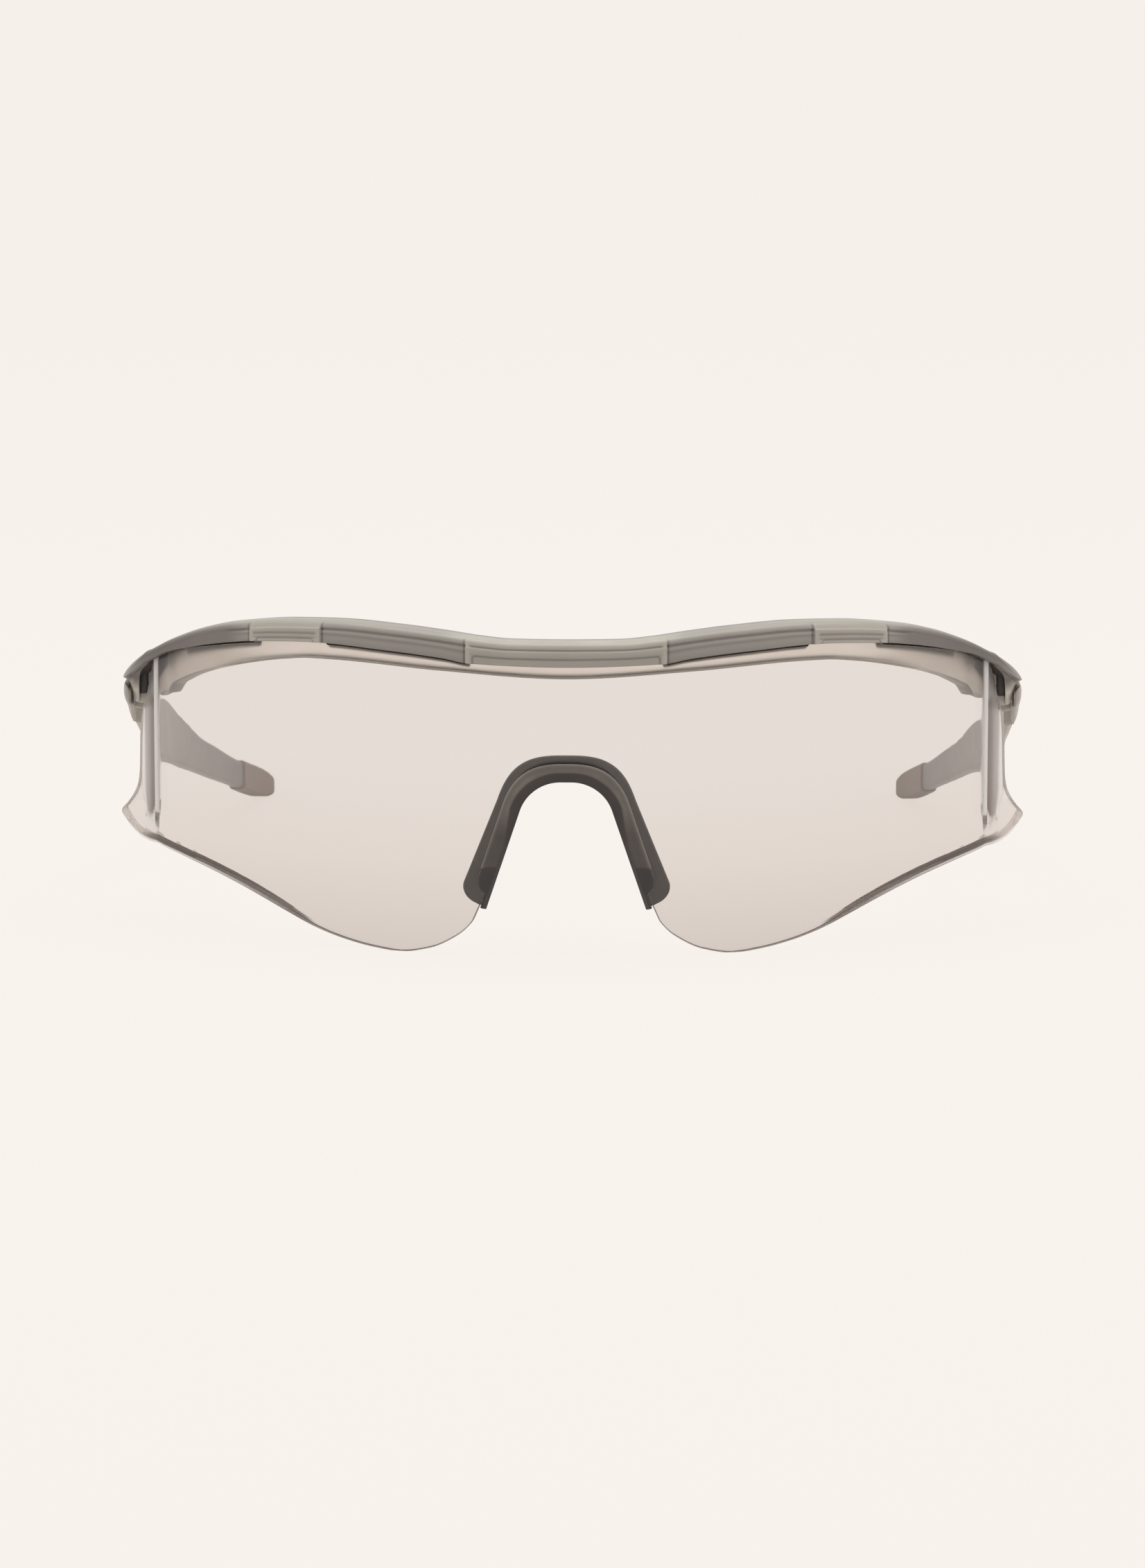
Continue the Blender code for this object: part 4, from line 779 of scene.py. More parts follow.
# The crown's painted highlight: how far down its light band reaches, and its tone along the bar.
LIGHT_BAND_SHARES = ((0, 0.15), (0.7, 0.15), (0.8, 0.2), (0.88, 0.2), (0.93, 0.13), (0.97, 0.03), (1, 0))
CROWN_HIGHLIGHT_SHARES = (
    (0, 0.76), (0.23, 0.76), (0.3, 0.62), (0.6, 0.66), (0.75, 0.64), (0.85, 0.52), (1, 0.5),
)
WALL_TONE_SHARES = ((0, 1), (0.66, 1), (0.8, 0.96), (0.9, 0.95), (1, 0.95))
OUTER_TONE, OUTER_DIP, END_TONE, PANEL_END_HIGHLIGHT, LINE_SHADE = 0.28, 0.06, 0.4, 0.7, 0.3
along_share = along / LENS_HALF_WIDTH
crown_highlight = through(CROWN_HIGHLIGHT_SHARES, along_share)
light_band = through(LIGHT_BAND_SHARES, along_share)


def lit(light, share):
    """1 where a share of the height, down from the top, is inside the crown's light band, else 0."""
    return (light > 0.02) * beyond(light - share, 0.1)


def stripe(distance, wide):
    """A soft line: e to the minus square of distance over width."""
    return np.exp(-((distance / wide) ** 2))


def face_map():
    """Relief ahead of the plain face, and tone with its painted light and shade, as (stations, steps up the
    face).
    """
    tall = (top - drop - low)[:, None]
    v = FACE_STEPS[None, :]
    in_middle = PAD_MIDDLE_HALF - along
    in_side = np.minimum(along - PAD_SIDE[0], PAD_SIDE[1] - along)
    inside = np.where(ended > 0, -1, np.maximum(in_middle, in_side))[:, None]
    middle = (in_middle > in_side)[:, None]
    panel = beyond(inside, PANEL_EDGE)
    to_line = (v - np.where(middle, OBLONG_TOP_MIDDLE, OBLONG_TOP_SIDE)) * tall + OBLONG_CORNER
    to_end = OBLONG_FROM_END + OBLONG_CORNER - inside
    edge = np.hypot(to_line.clip(0), to_end.clip(0)) + np.minimum(0, np.maximum(to_line, to_end))
    edge = edge - OBLONG_CORNER
    oblong = panel * ease(0.5 - edge / PANEL_EDGE)
    grooved = window(along, -PAD_SIDE[0], PAD_SIDE[0], 0.0004)
    grooved = grooved + window(along, PAD_SIDE[1], PAD_SIDE[1] + 0.004, 0.003)
    under_bead = grooved[:, None] * stripe((v - BEAD_LINE_AT) * tall, BEAD_LINE_WIDTH)
    relief = (FACE_RECESS + PAD_RAISE) * panel - FACE_RECESS
    relief = relief - OBLONG_DEPTH * oblong - BEAD_GROOVE * under_bead
    outer = ease((along - PAD_SIDE[1] - 0.0002) / 0.004)[:, None]
    outer_tone = OUTER_TONE - OUTER_DIP * ease((along - 0.055) / 0.01)[:, None]
    outer_tone = outer_tone + (END_TONE - OUTER_TONE + OUTER_DIP) * ease(ended * 1.4)[:, None]
    plain, middle_tone, side_tone = (
        np.interp(v, *np.array(tones).T) for tones in (PLAIN_TONES, MIDDLE_TONES, SIDE_TONES)
    )
    plain = plain * (1 - outer) + outer_tone * outer
    held = np.where(middle, middle_tone, side_tone)
    # Painted highlight on the panels' ends; painted shade lines on the oblong's edge and just outside each
    # panel.
    ends = panel * (1 - ease((inside - 0.0004) / 0.0006))
    tone = plain * (1 - panel) + held * panel + ends * (PANEL_END_HIGHLIGHT - held)
    tone = tone - panel * LINE_SHADE * stripe(edge, 0.00013) * (inside > 0.0007)
    tone = tone - LINE_SHADE * stripe(inside + 0.00022, 0.00016)
    # Painted highlight: the crown's light band lightens the upper face outside the panels.
    share = 1 - (v * tall) / (top - low)[:, None]
    light = light_band[:, None] * (ended == 0)[:, None]
    tone = tone + (crown_highlight[:, None] - tone) * (1 - panel) * lit(light, share)
    return relief, tone


relief, face_tone = face_map()
print("relief of the face in mm:", np.round([relief.min() * 1000, relief.max() * 1000], 2).tolist())

# %% [markdown]
# Corners of the section that should stay crisp have their rails close together, and soft ones have
# them far apart, because cutting corners rounds each by a quarter of its sides. The tone rides along
# as a fourth coordinate, so it is smoothed with the shape.


# %% The brow bar's skin
def raised(path, z, tone):
    """A plan path lifted to its heights, with its tone as a fourth coordinate."""
    z, tone = (np.broadcast_to(value, (len(path),))[:, None] for value in (z, tone))
    return np.concatenate([path, z, tone], 1)


BEAD_RAILS = ((0, 0.16), (0, 0.45), (0.05, 0.76), (0.17, 0.93), (0.38, 1))  # way back, sine up
CROWN_RAILS = (  # way back, fall as a share of the rear bead's height, tone
    (0.56, 0.015, 0.3), (0.7, 0.06, 0.5), (0.85, 0.2, 0.6), (0.985, 0.62, 0.7), (1, 1.2, 0.8),
)
BEAD_DEPTH, CREST_POWER = 0.38, 0.8
WALL_FOOT, WALL_FOOT_SHADE, HOOK_HEIGHT = 0.0009, 0.72, 0.0038


def bar_rings():
    """Rings of the left half, (stations, points, 4): lip, face, bead, crown, rear wall and groove."""
    outer_x = SHOULDER_X + SHOULDER_THICKNESS
    plain = rail(LIP_FRONT, outer_x)
    faces = [rail(LIP_FRONT + relief[:, i], outer_x) for i in range(len(FACE_STEPS))]
    lip = rail(FIT_GAP, LUG_OUTER - CHEEK_THICKNESS, end_y=LUG_FRONT - 0.0004)
    wall = rail(-LENS_THICKNESS - FIT_GAP, HINGE_X - LUG_INNER + FIT_GAP + REAR_WALL_END, BEND_X)
    back = rail(-BAR_DEPTH, HINGE_X - LUG_INNER + FIT_GAP, BEND_X)
    across = back - plain
    below = top - drop
    rear_drop = np.minimum(BAR_ROUND, top_inner - groove)
    lip_roof = np.minimum(groove, top + (top_inner - top) * 0.3 - 0.0007)
    # Painted light: the rear wall is pale where light from behind shines through its thin nylon, which also
    # lets real light through; its lower edge carries a painted shade line.
    pale = through(WALL_TONE_SHARES, along_share)
    edge_shade = WALL_FOOT_SHADE + (pale - WALL_FOOT_SHADE) * ease((along_share - 0.78) / 0.1)
    hung = np.clip((low - hook) / HOOK_HEIGHT, 0, 1)
    under = 0.2 + 0.62 * ease(hung * 2)
    rails = [
        raised(lip, hook, under), raised(lip * 0.63 + plain * 0.37, low + (hook - low) * 0.96, under),
        raised(lip * 0.5 + plain * 0.5, low + (hook - low) * 0.33, under),
        raised(lip * 0.25 + faces[0] * 0.75, low + (hook - low) * 0.08, np.maximum(0.3, under - 0.3)),
    ]
    for path, v, tone in zip(faces, FACE_STEPS, face_tone.T):
        rails.append(raised(path, low + (below - low) * v, tone))
    # The bead is dark on its lower side and takes the crown's painted highlight where it lies in the light
    # band.
    light = light_band * (ended == 0)
    dark = face_tone[:, -4]
    oval = (0.5 + 0.5 * ease(ended * 2))[:, None]
    for square_part, sine in BEAD_RAILS:
        part = square_part * (1 - oval) + BEAD_DEPTH * (1 - math.sqrt(1 - sine**2)) * oval
        share = drop * (1 - sine) / (top - low)
        tone = dark + (crown_highlight - dark) * lit(light, share)
        crest = top + (top_inner - top) * part[:, 0] ** CREST_POWER
        rails.append(raised(plain + across * part, crest - drop * (1 - sine), tone))
    # The crown's tones rise towards its back: painted light on the top of the bar.
    for part, down, tone in CROWN_RAILS:
        crest = top + (top_inner - top) * part**CREST_POWER
        rails.append(raised(plain + across * part, crest - rear_drop * down, tone))
    # Painted shade: the wall seen through the vent slots between the tabs, and the groove, are dark.
    unheld = 1 - held_part(along)
    slot = np.where(ended > 0, 0.3, 1 - 0.95 * unheld)
    rails += [
        raised(back, (top_inner + rear) / 2, pale), raised(back, rear + 0.0006, pale),
        raised(back, rear + 0.0002, edge_shade), raised(back * 0.85 + wall * 0.15, rear, edge_shade),
        raised(back * 0.2 + wall * 0.8, rear, edge_shade), raised(wall, rear + 0.0003, edge_shade),
        raised(wall, rear + 0.0005, pale), raised(wall, (rear + low - WALL_FOOT) / 2, pale),
        raised(wall, low - WALL_FOOT, pale), raised(wall, low - 0.0006, slot),
        raised(wall, groove - 0.0003, slot), raised(wall, groove, 0.2),
        raised(wall * 0.8 + lip * 0.2, (groove + lip_roof) / 2, 0.1),
        raised(lip * 0.8 + wall * 0.2, lip_roof, 0.1), raised(lip, lip_roof - 0.0002, 0.1),
        raised(lip, hook + 0.0002, 0.2),
    ]
    return rounded(np.stack(rails, 1))


rings = bar_rings()
bar = np.concatenate([rings[:0:-1] * (-1, 1, 1, 1), rings])
bar, bar_tone = bar[..., :3], bar[..., 3].reshape(-1)

# %% [markdown]
# At each end the bar carries a lug: a block behind the shield's wing and a fork of two leaves round
# the hinge. A leaf is a stack of rings too, counted round the hinge axis: up the outside, over the
# top, and down into the recess of the screw's head, so the recess needs no cutting. The shank has no
# bore of its own here, since leaf and tongue hide it.


# %% Lugs and hinge forks
def inset(outline, distance):
    """A closed plan outline moved inwards: each point goes against the mean normal of its two sides."""
    after, before = np.roll(outline, -1, 0) - outline, outline - np.roll(outline, 1, 0)
    after, before = (side / np.linalg.norm(side, axis=1)[:, None] for side in (after, before))
    x, y = (after + before).T
    normal = np.stack([y, -x], 1)
    normal /= np.linalg.norm(normal, axis=1)[:, None]
    x, y = outline.T
    turn = np.sign(np.sum(x * np.roll(y, -1) - y * np.roll(x, -1)))
    return outline - normal * distance * turn


def level(outline, z):
    """A plan outline at one height."""
    return np.column_stack([outline, np.full(len(outline), z)])


def slab(outline, low, high, edge):
    """An upright block with soft edges: rings inset by edge at both ends, then the full outline."""
    tight, near = inset(outline, edge), inset(outline, edge * 0.3)
    heights = ((tight, low), (near, low + edge * 0.3), (outline, low + edge),
               (outline, high - edge), (near, high - edge * 0.3), (tight, high))
    return skin(np.stack([level(*pair) for pair in heights]))


def arc(centre, radius, first, last, count):
    """Points on a circle in plan between two angles."""
    turn = np.linspace(first, last, count)
    return np.stack([centre[0] + radius * np.cos(turn), centre[1] + radius * np.sin(turn)], 1)


def soft_outline(corners, times=3):
    """A plan outline with its corners cut."""
    flat = np.column_stack([corners, np.zeros(len(corners))])
    return rounded(flat, times)[:, :2]


def block(inner, outer, front, back, corner=0.0002):
    """An oblong in plan whose corners are softened by about `corner`."""
    c = corner
    return soft_outline(np.array([
        (inner + c, front), (outer - c, front), (outer, front + c), (outer, back - c),
        (outer - c, back), (inner + c, back), (inner, back - c), (inner, front + c),
    ]), 2)


SLOT_HALF = 0.0009 + FIT_GAP
BORE_RADIUS, BORE_DEPTH, LEAF_EDGE = 0.0016, 0.0011, 0.00025
SLAB_EDGE, FOOT_EDGE = 0.00015, 0.0003
CHEEK_FOOT = 0.0354
POCKET = (HINGE_X - 0.0003, HINGE_X + 0.0014)


def leaf(low, high, bored, inner):
    """One leaf of the fork: rings up the outside and over the edge, then into the recess if bored."""
    back, edge = LUG_FRONT + LUG_WALL, LEAF_EDGE
    knuckle = arc((HINGE_X, HINGE_Y), KNUCKLE_RADIUS, 0, math.pi, 41)
    front = np.array([
        (inner, LUG_FRONT + 0.0003), (inner + 0.0003, LUG_FRONT), (HINGE_X + 0.0004, LUG_FRONT),
        (LUG_OUTER - 0.0002, LUG_FRONT + 0.0014), (LUG_OUTER, LUG_FRONT + 0.0017),
    ])
    near = np.array([
        (HINGE_X - KNUCKLE_RADIUS, back + 0.0005), (max(inner, HINGE_X - 0.0025), back),
        (inner, back - 0.0007),
    ])
    outline = soft_outline(np.concatenate([front, knuckle, near]), 1)
    rings = [level(inset(outline, edge), low), level(outline, low + edge), level(outline, high - edge),
             level(inset(outline, edge * 0.3), high - edge * 0.3), level(inset(outline, edge), high)]
    if bored:
        turn = np.arctan2(outline[:, 1] - HINGE_Y, outline[:, 0] - HINGE_X)
        hole = np.stack([HINGE_X + BORE_RADIUS * np.cos(turn), HINGE_Y + BORE_RADIUS * np.sin(turn)], 1)
        rings += [level(inset(hole, -0.0001), high), level(hole, high - 0.0001)]
        rings += [level(hole, high - BORE_DEPTH)]
    return skin(np.stack(rings))


def lug():
    """Shells of the left lug with their tones: two leaves, block, web, a black plate of painted shade in
    the slot, and the cheek's foot.
    """
    inner, roof = HINGE_X - LUG_INNER, END_TOP_SHARES[-1] * FRONT_HEIGHT - 0.0007
    back, over, under = LUG_FRONT + LUG_WALL, HINGE_Z + SLOT_HALF, HINGE_Z - SLOT_HALF
    web = block(POCKET[0] - 0.0002, LUG_OUTER - 0.0004, back - 0.0008, back)
    # A thin plate at tone 0 at the back of the gap beside the wing: painted shade, so that the gap reads as
    # a dark slot.
    slot_shade_plate = block(*POCKET, LUG_FRONT - 0.0003, LUG_FRONT + 0.001)
    cheek = block(*POCKET, LUG_FRONT - 0.0005, LUG_FRONT + 0.0009)
    return [
        (leaf(LUG_LOW, under, False, HINGE_X - 0.0024), 0.62),
        (leaf(over, LUG_HIGH, True, inner), 0.84),
        (slab(block(inner, POCKET[0], LUG_FRONT, back), over - 0.0003, roof, SLAB_EDGE), 0.86),
        (slab(web, under - 0.0002, roof, SLAB_EDGE), 0.6),
        (slab(slot_shade_plate, CHEEK_FOOT - 0.0002, roof, SLAB_EDGE), 0.0),
        (slab(cheek, LUG_LOW + 0.0011, CHEEK_FOOT, FOOT_EDGE), 0.78),
    ]


left_lug = lug()
bar_shells = [skin(bar)] + [shell for shell, _ in left_lug] + [mirrored(shell) for shell, _ in left_lug]
tones = [bar_tone, [0.4, 0.4]] + 2 * [np.full(len(shell[0]), tone) for shell, tone in left_lug]
values = {"tone": np.concatenate(tones)}
piece("brow_bar", bar_shells, nylon, "front", ["brow_frame"], values)

# %% [markdown]
# ## The nose bridge
# A dark rubber arch grips the edge of the shield's nose opening. It has a narrow lip in front and a
# wide flange behind, which shows brown through the shield. It is made as rings too, carried down one
# leg, over the crown and up the other, with the section's corners as rails.

# %% Stations of the nose arch
BRIDGE_END_Z, BRIDGE_LIP_END_Z = 0.0076, 0.0098
BRIDGE_LIP, BRIDGE_LIP_WIDTH, BRIDGE_FLANGE = 0.0014, 0.0029, 0.0015
CORNER_LIP, CORNER_FLANGE = 0.0003, 0.0005  # how much squarer the outlines are at the crown's corners
FLANGE_TOP, FLANGE_FOOT = 0.0038, 0.0047
FLANGE_TONE = 0.34
PEG_Z, PEG_SPREAD, PEG_RADIUS = 0.0127, 0.0023, 0.0012
LEG_ROWS, TURN_ROWS, TOP_ROWS = 90, 43, 11
TAB_TOP, TAB_ROUNDNESS = 0.0146, 90

leg_top = np.array([CROWN_X, CROWN_Z]) + LEG_OUT * ARCH_RADIUS
foot = np.array([float(leg_x(BRIDGE_END_Z, 0)), BRIDGE_END_Z])
leg_way = 1 - np.linspace(0, 1, LEG_ROWS)[:, None] ** 1.6
turns = np.linspace(NOSE_LEAN, math.pi / 2, TURN_ROWS + 1)[1:, None]
round_out = np.concatenate([np.cos(turns), np.sin(turns)], 1)
arch_line = np.concatenate([
    leg_top + (foot - leg_top) * leg_way,
    np.array([CROWN_X, CROWN_Z]) + round_out * ARCH_RADIUS,
    np.column_stack([np.linspace(CROWN_X, 0, TOP_ROWS + 1)[1:], np.full(TOP_ROWS, ARCH_TOP)]),
])
arch_out = np.concatenate([np.tile(LEG_OUT, (LEG_ROWS, 1)), round_out, np.tile((0, 1), (TOP_ROWS, 1))])
down = np.append(leg_way[:, 0], np.zeros(TURN_ROWS + TOP_ROWS))
arch_line = np.concatenate([arch_line, arch_line[-2::-1] * (-1, 1)])
arch_out = np.concatenate([arch_out, arch_out[-2::-1] * (-1, 1)])
down = np.append(down, down[-2::-1])
print("nose arch stations:", len(down))


# %% The nose bridge's skin
def on_arch(spread, depth, tone):
    """Points off the arch line, spread outwards and set back from the shield's front, with a tone."""
    x, z = (arch_line + arch_out * np.reshape(spread, (-1, 1))).T
    return np.stack([x, lens_face(x, z) + depth, z, z * 0 + tone], 1)


def bridge_rings():
    """Rails: the opening's side, a slanted chamfer, the lip's face, the web and the flange behind."""
    lip_end = (leg_top[1] - BRIDGE_LIP_END_Z) / (leg_top[1] - BRIDGE_END_Z)
    left = np.clip((lip_end - down) / (1 - lip_end), 0, 1)
    lip = BRIDGE_WEB + np.maximum((BRIDGE_LIP_WIDTH - BRIDGE_WEB) * np.sqrt(1 - (1 - left) ** 2), FIT_GAP)
    close = np.clip((1 - down) / 0.16, 0, 1)
    flange = FLANGE_TOP + (FLANGE_FOOT - FLANGE_TOP) * down
    flange = BRIDGE_WEB + (flange - BRIDGE_WEB) * (0.25 + 0.75 * np.sqrt(1 - (1 - close) ** 2))
    steep = np.degrees(np.arctan2(arch_out[:, 1], np.abs(arch_out[:, 0])))
    squarer = np.sin(np.radians((steep - LEAN_DEGREES).clip(0) / (90 - LEAN_DEGREES) * 180)) ** 2
    flange = flange + CORNER_FLANGE * squarer
    lip = lip + CORNER_LIP * squarer * (left > 0.5)
    slant = np.interp(down, (0, 0.35), (1.55, 0.55)) * 0.001
    slant = np.minimum(slant, lip * 0.55)
    soft = np.minimum(0.0003, (lip - BRIDGE_WEB) / 3)
    ahead, behind = -(FIT_GAP + BRIDGE_LIP), LENS_THICKNESS + FIT_GAP
    far = behind + BRIDGE_FLANGE
    # Painted highlights: the lip's outer edge is pale, and so is the opening's inner edge along the lower
    # legs (flank); the lip's face is lighter over the crown.
    high = 1 - ease(down / 0.3)  # over the crown of the arch
    flank = 0.1 + 0.75 * ease((down - 0.55) / 0.2)
    rails = [
        (0, ahead + 0.0009, 0.16), (0.00006, ahead + 0.00065, flank), (0.00016, ahead + 0.00058, 0.16),
        (slant * 0.85, ahead + 0.0002, 0.2), (slant, ahead + 0.00008, 0.24),
        (slant * 0.9 + lip * 0.1, ahead, 0.4 + 0.28 * high),
        (slant * 0.5 + lip * 0.5, ahead, 0.38 + 0.3 * high),
        (lip - soft, ahead, 0.42 + 0.16 * high), (lip, ahead + soft, 0.8), (lip, -FIT_GAP - 0.0002, 0.7),
        (lip - 0.0001, -FIT_GAP, 0.3), (BRIDGE_WEB, -FIT_GAP, 0.2), (BRIDGE_WEB, behind, 0.3),
    ]
    for share in (0.3, 0.45, 0.6, 0.75, 0.9):
        spread = BRIDGE_WEB + (flange - BRIDGE_WEB) * share
        at = arch_line + arch_out * spread[:, None]
        peg = np.hypot(np.abs(at[:, 0]) - float(leg_x(PEG_Z, PEG_SPREAD)), at[:, 1] - PEG_Z)
        rails.append((spread, behind, FLANGE_TONE * beyond(peg - PEG_RADIUS, 0.0002)))
    rails += [
        (flange - 0.0002, behind, 0.3), (flange, behind + 0.0002, 0.25), (flange, far - 0.0004, 0.3),
        (flange - 0.0004, far, 0.35), (0.0004, far, 0.35), (0, far - 0.0004, 0.3), (0, behind, 0.2),
    ]
    return rounded(np.stack([on_arch(np.broadcast_to(s, down.shape), d, tone) for s, d, tone in rails], 1))


rings, bridge_tone = np.split(bridge_rings(), [3], axis=2)
lip_middle = leg_x(rings[..., 2], BRIDGE_LIP_WIDTH * 0.45)
tab_top = TAB_TOP - TAB_ROUNDNESS * (np.abs(rings[..., 0]) - lip_middle) ** 2
in_front = rings[..., 1] < lens_face(rings[..., 0], rings[..., 2]) - FIT_GAP / 2
shine = np.clip((tab_top - rings[..., 2]) / 0.0003, 0, 1) * in_front
shine = shine.reshape(-1)
bridge_tone = bridge_tone.reshape(-1) * (1 - 0.65 * shine)
values = {"gloss": np.append(shine, (0, 0)), "tone": np.append(bridge_tone, (0.3, 0.3))}
piece("nose_clip", [skin(rings)], nose_rubber, "front", ["nose_bridge"], values)

# %% [markdown]
# ## Nose pads
# Each pad is a soft rounded tablet, pegged through the bridge and splayed to lie on the side of the
# nose. Its outline is a superellipse, |x| cubed plus |y| cubed equal to 1, which is fuller than an
# oval and softer than an oblong.

# %% Nose pads and pegs
PAD_HALF_LENGTH, PAD_HALF_DEPTH, PAD_THICKNESS = 0.0074, 0.004, 0.0013
PAD_SPLAY, PAD_MIDDLE_Z = math.radians(11), 0.0152
PAD_EDGE_SHARE, PAD_DOME_SHARE, PAD_TONE = 0.13, 0.3, 0.3
AROUND = 96


def pad_shells():
    """Rings of the superellipse from one face to the other, shrunk along a quarter circle at each edge."""
    across_leg = np.array([LEG_OUT[0], 0, LEG_OUT[1]])
    downwards = np.array([LEG_OUT[1], 0, -LEG_OUT[0]])
    back = np.array([0, math.cos(PAD_SPLAY), 0]) + across_leg * math.sin(PAD_SPLAY)
    thick = across_leg * math.cos(PAD_SPLAY) - np.array([0, math.sin(PAD_SPLAY), 0])
    deepest = float(lens_face(leg_x(BRIDGE_END_Z, FLANGE_FOOT), BRIDGE_END_Z))
    rear = deepest + LENS_THICKNESS + FIT_GAP + BRIDGE_FLANGE + FIT_GAP
    middle = np.array([float(leg_x(PAD_MIDDLE_Z, 2 * FIT_GAP)), rear, PAD_MIDDLE_Z]) + back * PAD_HALF_DEPTH
    turn = np.linspace(0, 2 * math.pi, AROUND, endpoint=False)
    u, v = (np.sign(wave) * np.abs(wave) ** (2 / 3) for wave in (np.cos(turn), np.sin(turn)))
    edge = np.linspace(0, math.pi / 2, 7)
    rise, fall = 1 - np.sin(edge), 1 - np.cos(edge)
    size = np.concatenate([
        [0.3, 0.7], 1 - PAD_EDGE_SHARE * rise, 1 - PAD_EDGE_SHARE * fall[1:], [0.7, 0.3],
    ])
    lift = np.concatenate([
        [0.06, 0.03], PAD_DOME_SHARE * fall, 1 - PAD_DOME_SHARE * rise[1:], [0.985, 0.97],
    ])
    size, lift = size[:, None, None], lift[:, None, None] * PAD_THICKNESS
    shape = back * (u * PAD_HALF_DEPTH)[:, None] + downwards * (v * PAD_HALF_LENGTH)[:, None]
    pad = skin(middle + shape * size + thick * lift)
    peg_x = float(leg_x(PEG_Z, PEG_SPREAD))
    start = float(lens_face(peg_x, PEG_Z)) + LENS_THICKNESS + FIT_GAP
    ring = [peg_x + PEG_RADIUS * np.cos(turn), np.zeros(AROUND), PEG_Z + PEG_RADIUS * np.sin(turn)]
    ring = np.column_stack(ring)
    peg = skin(np.stack([ring + (0, y, 0) for y in np.linspace(start, rear + PAD_THICKNESS, 4)]))
    return [pad, peg]


shells = pad_shells()
values = {"tone": np.full(sum(len(points) for points, _, _ in shells), PAD_TONE)}
for side, sign in SIDES:
    both, replaced = sided(shells, sign), [f"nose_pad_{side}"]
    piece(f"nose_cushion_{side}", both, nose_rubber, "front", replaced, values)

# %% [markdown]
# ## Hinge screws
# A screw is a turned part, so its rings are circles whose radius changes with height. The six-lobed
# recess in its head is a ring too, of radius r times (1 + 0.13 cos 6a).

# %% Hinge screws
SCREW_RADIUS, SCREW_HEAD_RADIUS, SCREW_HEAD = 0.0007, 0.0013, 0.0007


def screw():
    """Rings from the tip up the shank, over the domed head and down into its recess."""
    turn = np.linspace(0, 2 * math.pi, 60, endpoint=False)
    end, high = LUG_LOW + 0.0004, LUG_HIGH - FIT_GAP
    under = high - SCREW_HEAD
    profile = (
        (SCREW_RADIUS * 0.7, end, 0), (SCREW_RADIUS, end + 0.0002, 0), (SCREW_RADIUS, under, 0),
        (SCREW_HEAD_RADIUS - 0.0001, under, 0), (SCREW_HEAD_RADIUS, under + 0.0001, 0),
        (SCREW_HEAD_RADIUS, high - 0.0002, 0), (SCREW_HEAD_RADIUS * 0.93, high - 0.00006, 0),
        (SCREW_HEAD_RADIUS * 0.75, high, 0), (0.00068, high, 0.13), (0.00064, high - 0.00005, 0.13),
        (0.0006, high - 0.0004, 0.13), (0.0002, high - 0.00045, 0),
    )
    rings = []
    for radius, z, lobes in profile:
        r = radius * (1 + lobes * np.cos(6 * turn))
        rings.append(np.stack([HINGE_X + r * np.cos(turn), HINGE_Y + r * np.sin(turn), np.full(60, z)], 1))
    return skin(np.stack(rings))


for side, sign in SIDES:
    replaced = [f"hinge_screw_{side}"]
    piece(f"pivot_screw_{side}", sided([screw()], sign), steel, "front", replaced)

# %% [markdown]
# ## Temple arms
# An arm starts as a slim shoulder beside the lug and becomes a blade that falls, leans inwards and
# narrows to the grip. Its section is an upright oblong with round corners, and its low edge, high
# edge and inner face each follow a curve of their own.

# %% Sections of the temples
BLADE_THICKNESSES = ((0, 0.0015), (0.04, 0.0015), (0.12, 0.0017), (0.3, 0.0023), (1, 0.0024))
BLADE_CORNER, SHOULDER_AHEAD = 0.0007, 0.0052
SEAM_Z, SEAM_SLOPE = 0.0359, 0.95  # the bar's end overlaps the arm along this slanting seam
GRIP_LENGTH, GRIP_WALL, GRIP_DOME = 0.0255, 0.0003, 0.0034
TANG_INSET, TANG_HEIGHT_INSET, TANG_LENGTH = 0.0006, 0.0013, 0.019
TONGUE_THICKNESS = 0.0018
TEMPLE_LOW_SHARES = (
    (-0.0815, 0.650), (-0.04, 0.642), (0, 0.612), (0.032, 0.57), (0.077, 0.52), (0.122, 0.475),
    (0.18, 0.43), (0.25, 0.382), (0.3, 0.352), (0.36, 0.318), (0.42, 0.283), (0.5, 0.241),
    (0.6, 0.186), (0.7, 0.133), (0.77, 0.094), (0.86, 0.044), (0.92, 0.016), (0.97, 0.002), (1, 0.002),
)
TEMPLE_HIGH_SHARES = (
    (-0.0815, 0.722), (-0.04, 0.722), (0, 0.723), (0.032, 0.722), (0.077, 0.712), (0.122, 0.69),
    (0.18, 0.645), (0.25, 0.588), (0.3, 0.54), (0.36, 0.483), (0.42, 0.43), (0.5, 0.36), (0.6, 0.294),
    (0.7, 0.227), (0.77, 0.184), (0.82, 0.156), (0.86, 0.134), (0.9, 0.111), (0.94, 0.086),
    (0.97, 0.062), (1, 0.04),
)
TEMPLE_INNER_SHARES = (
    (0.04, 1.052), (0.122, 1.046), (0.3, 1.023), (0.48, 0.982), (0.66, 0.937), (0.84, 0.891), (1, 0.85),
)
LEAD_SHARE, LEAD_SWELL = 0.03, 0.45  # the nose swells over this share of the reach, from this thickness
SEAM_FREE_FROM, SEAM_FREE_OVER, SEAM_LIFT = -0.025, 0.02, 0.01  # behind it the seam cuts nothing off
ARM_TONES = ((-0.08, 0.66), (0.02, 0.68), (0.1, 0.77), (0.3, 0.55), (0.5, 0.42), (0.8, 0.27))
TONGUE_TONE, TONGUE_EDGE = 0.4, 0.00012
NOSE_RINGS = ((0.55, 0.0003), (0.82, 0.00026), (0.94, 0.00016))  # size, way ahead of the first ring


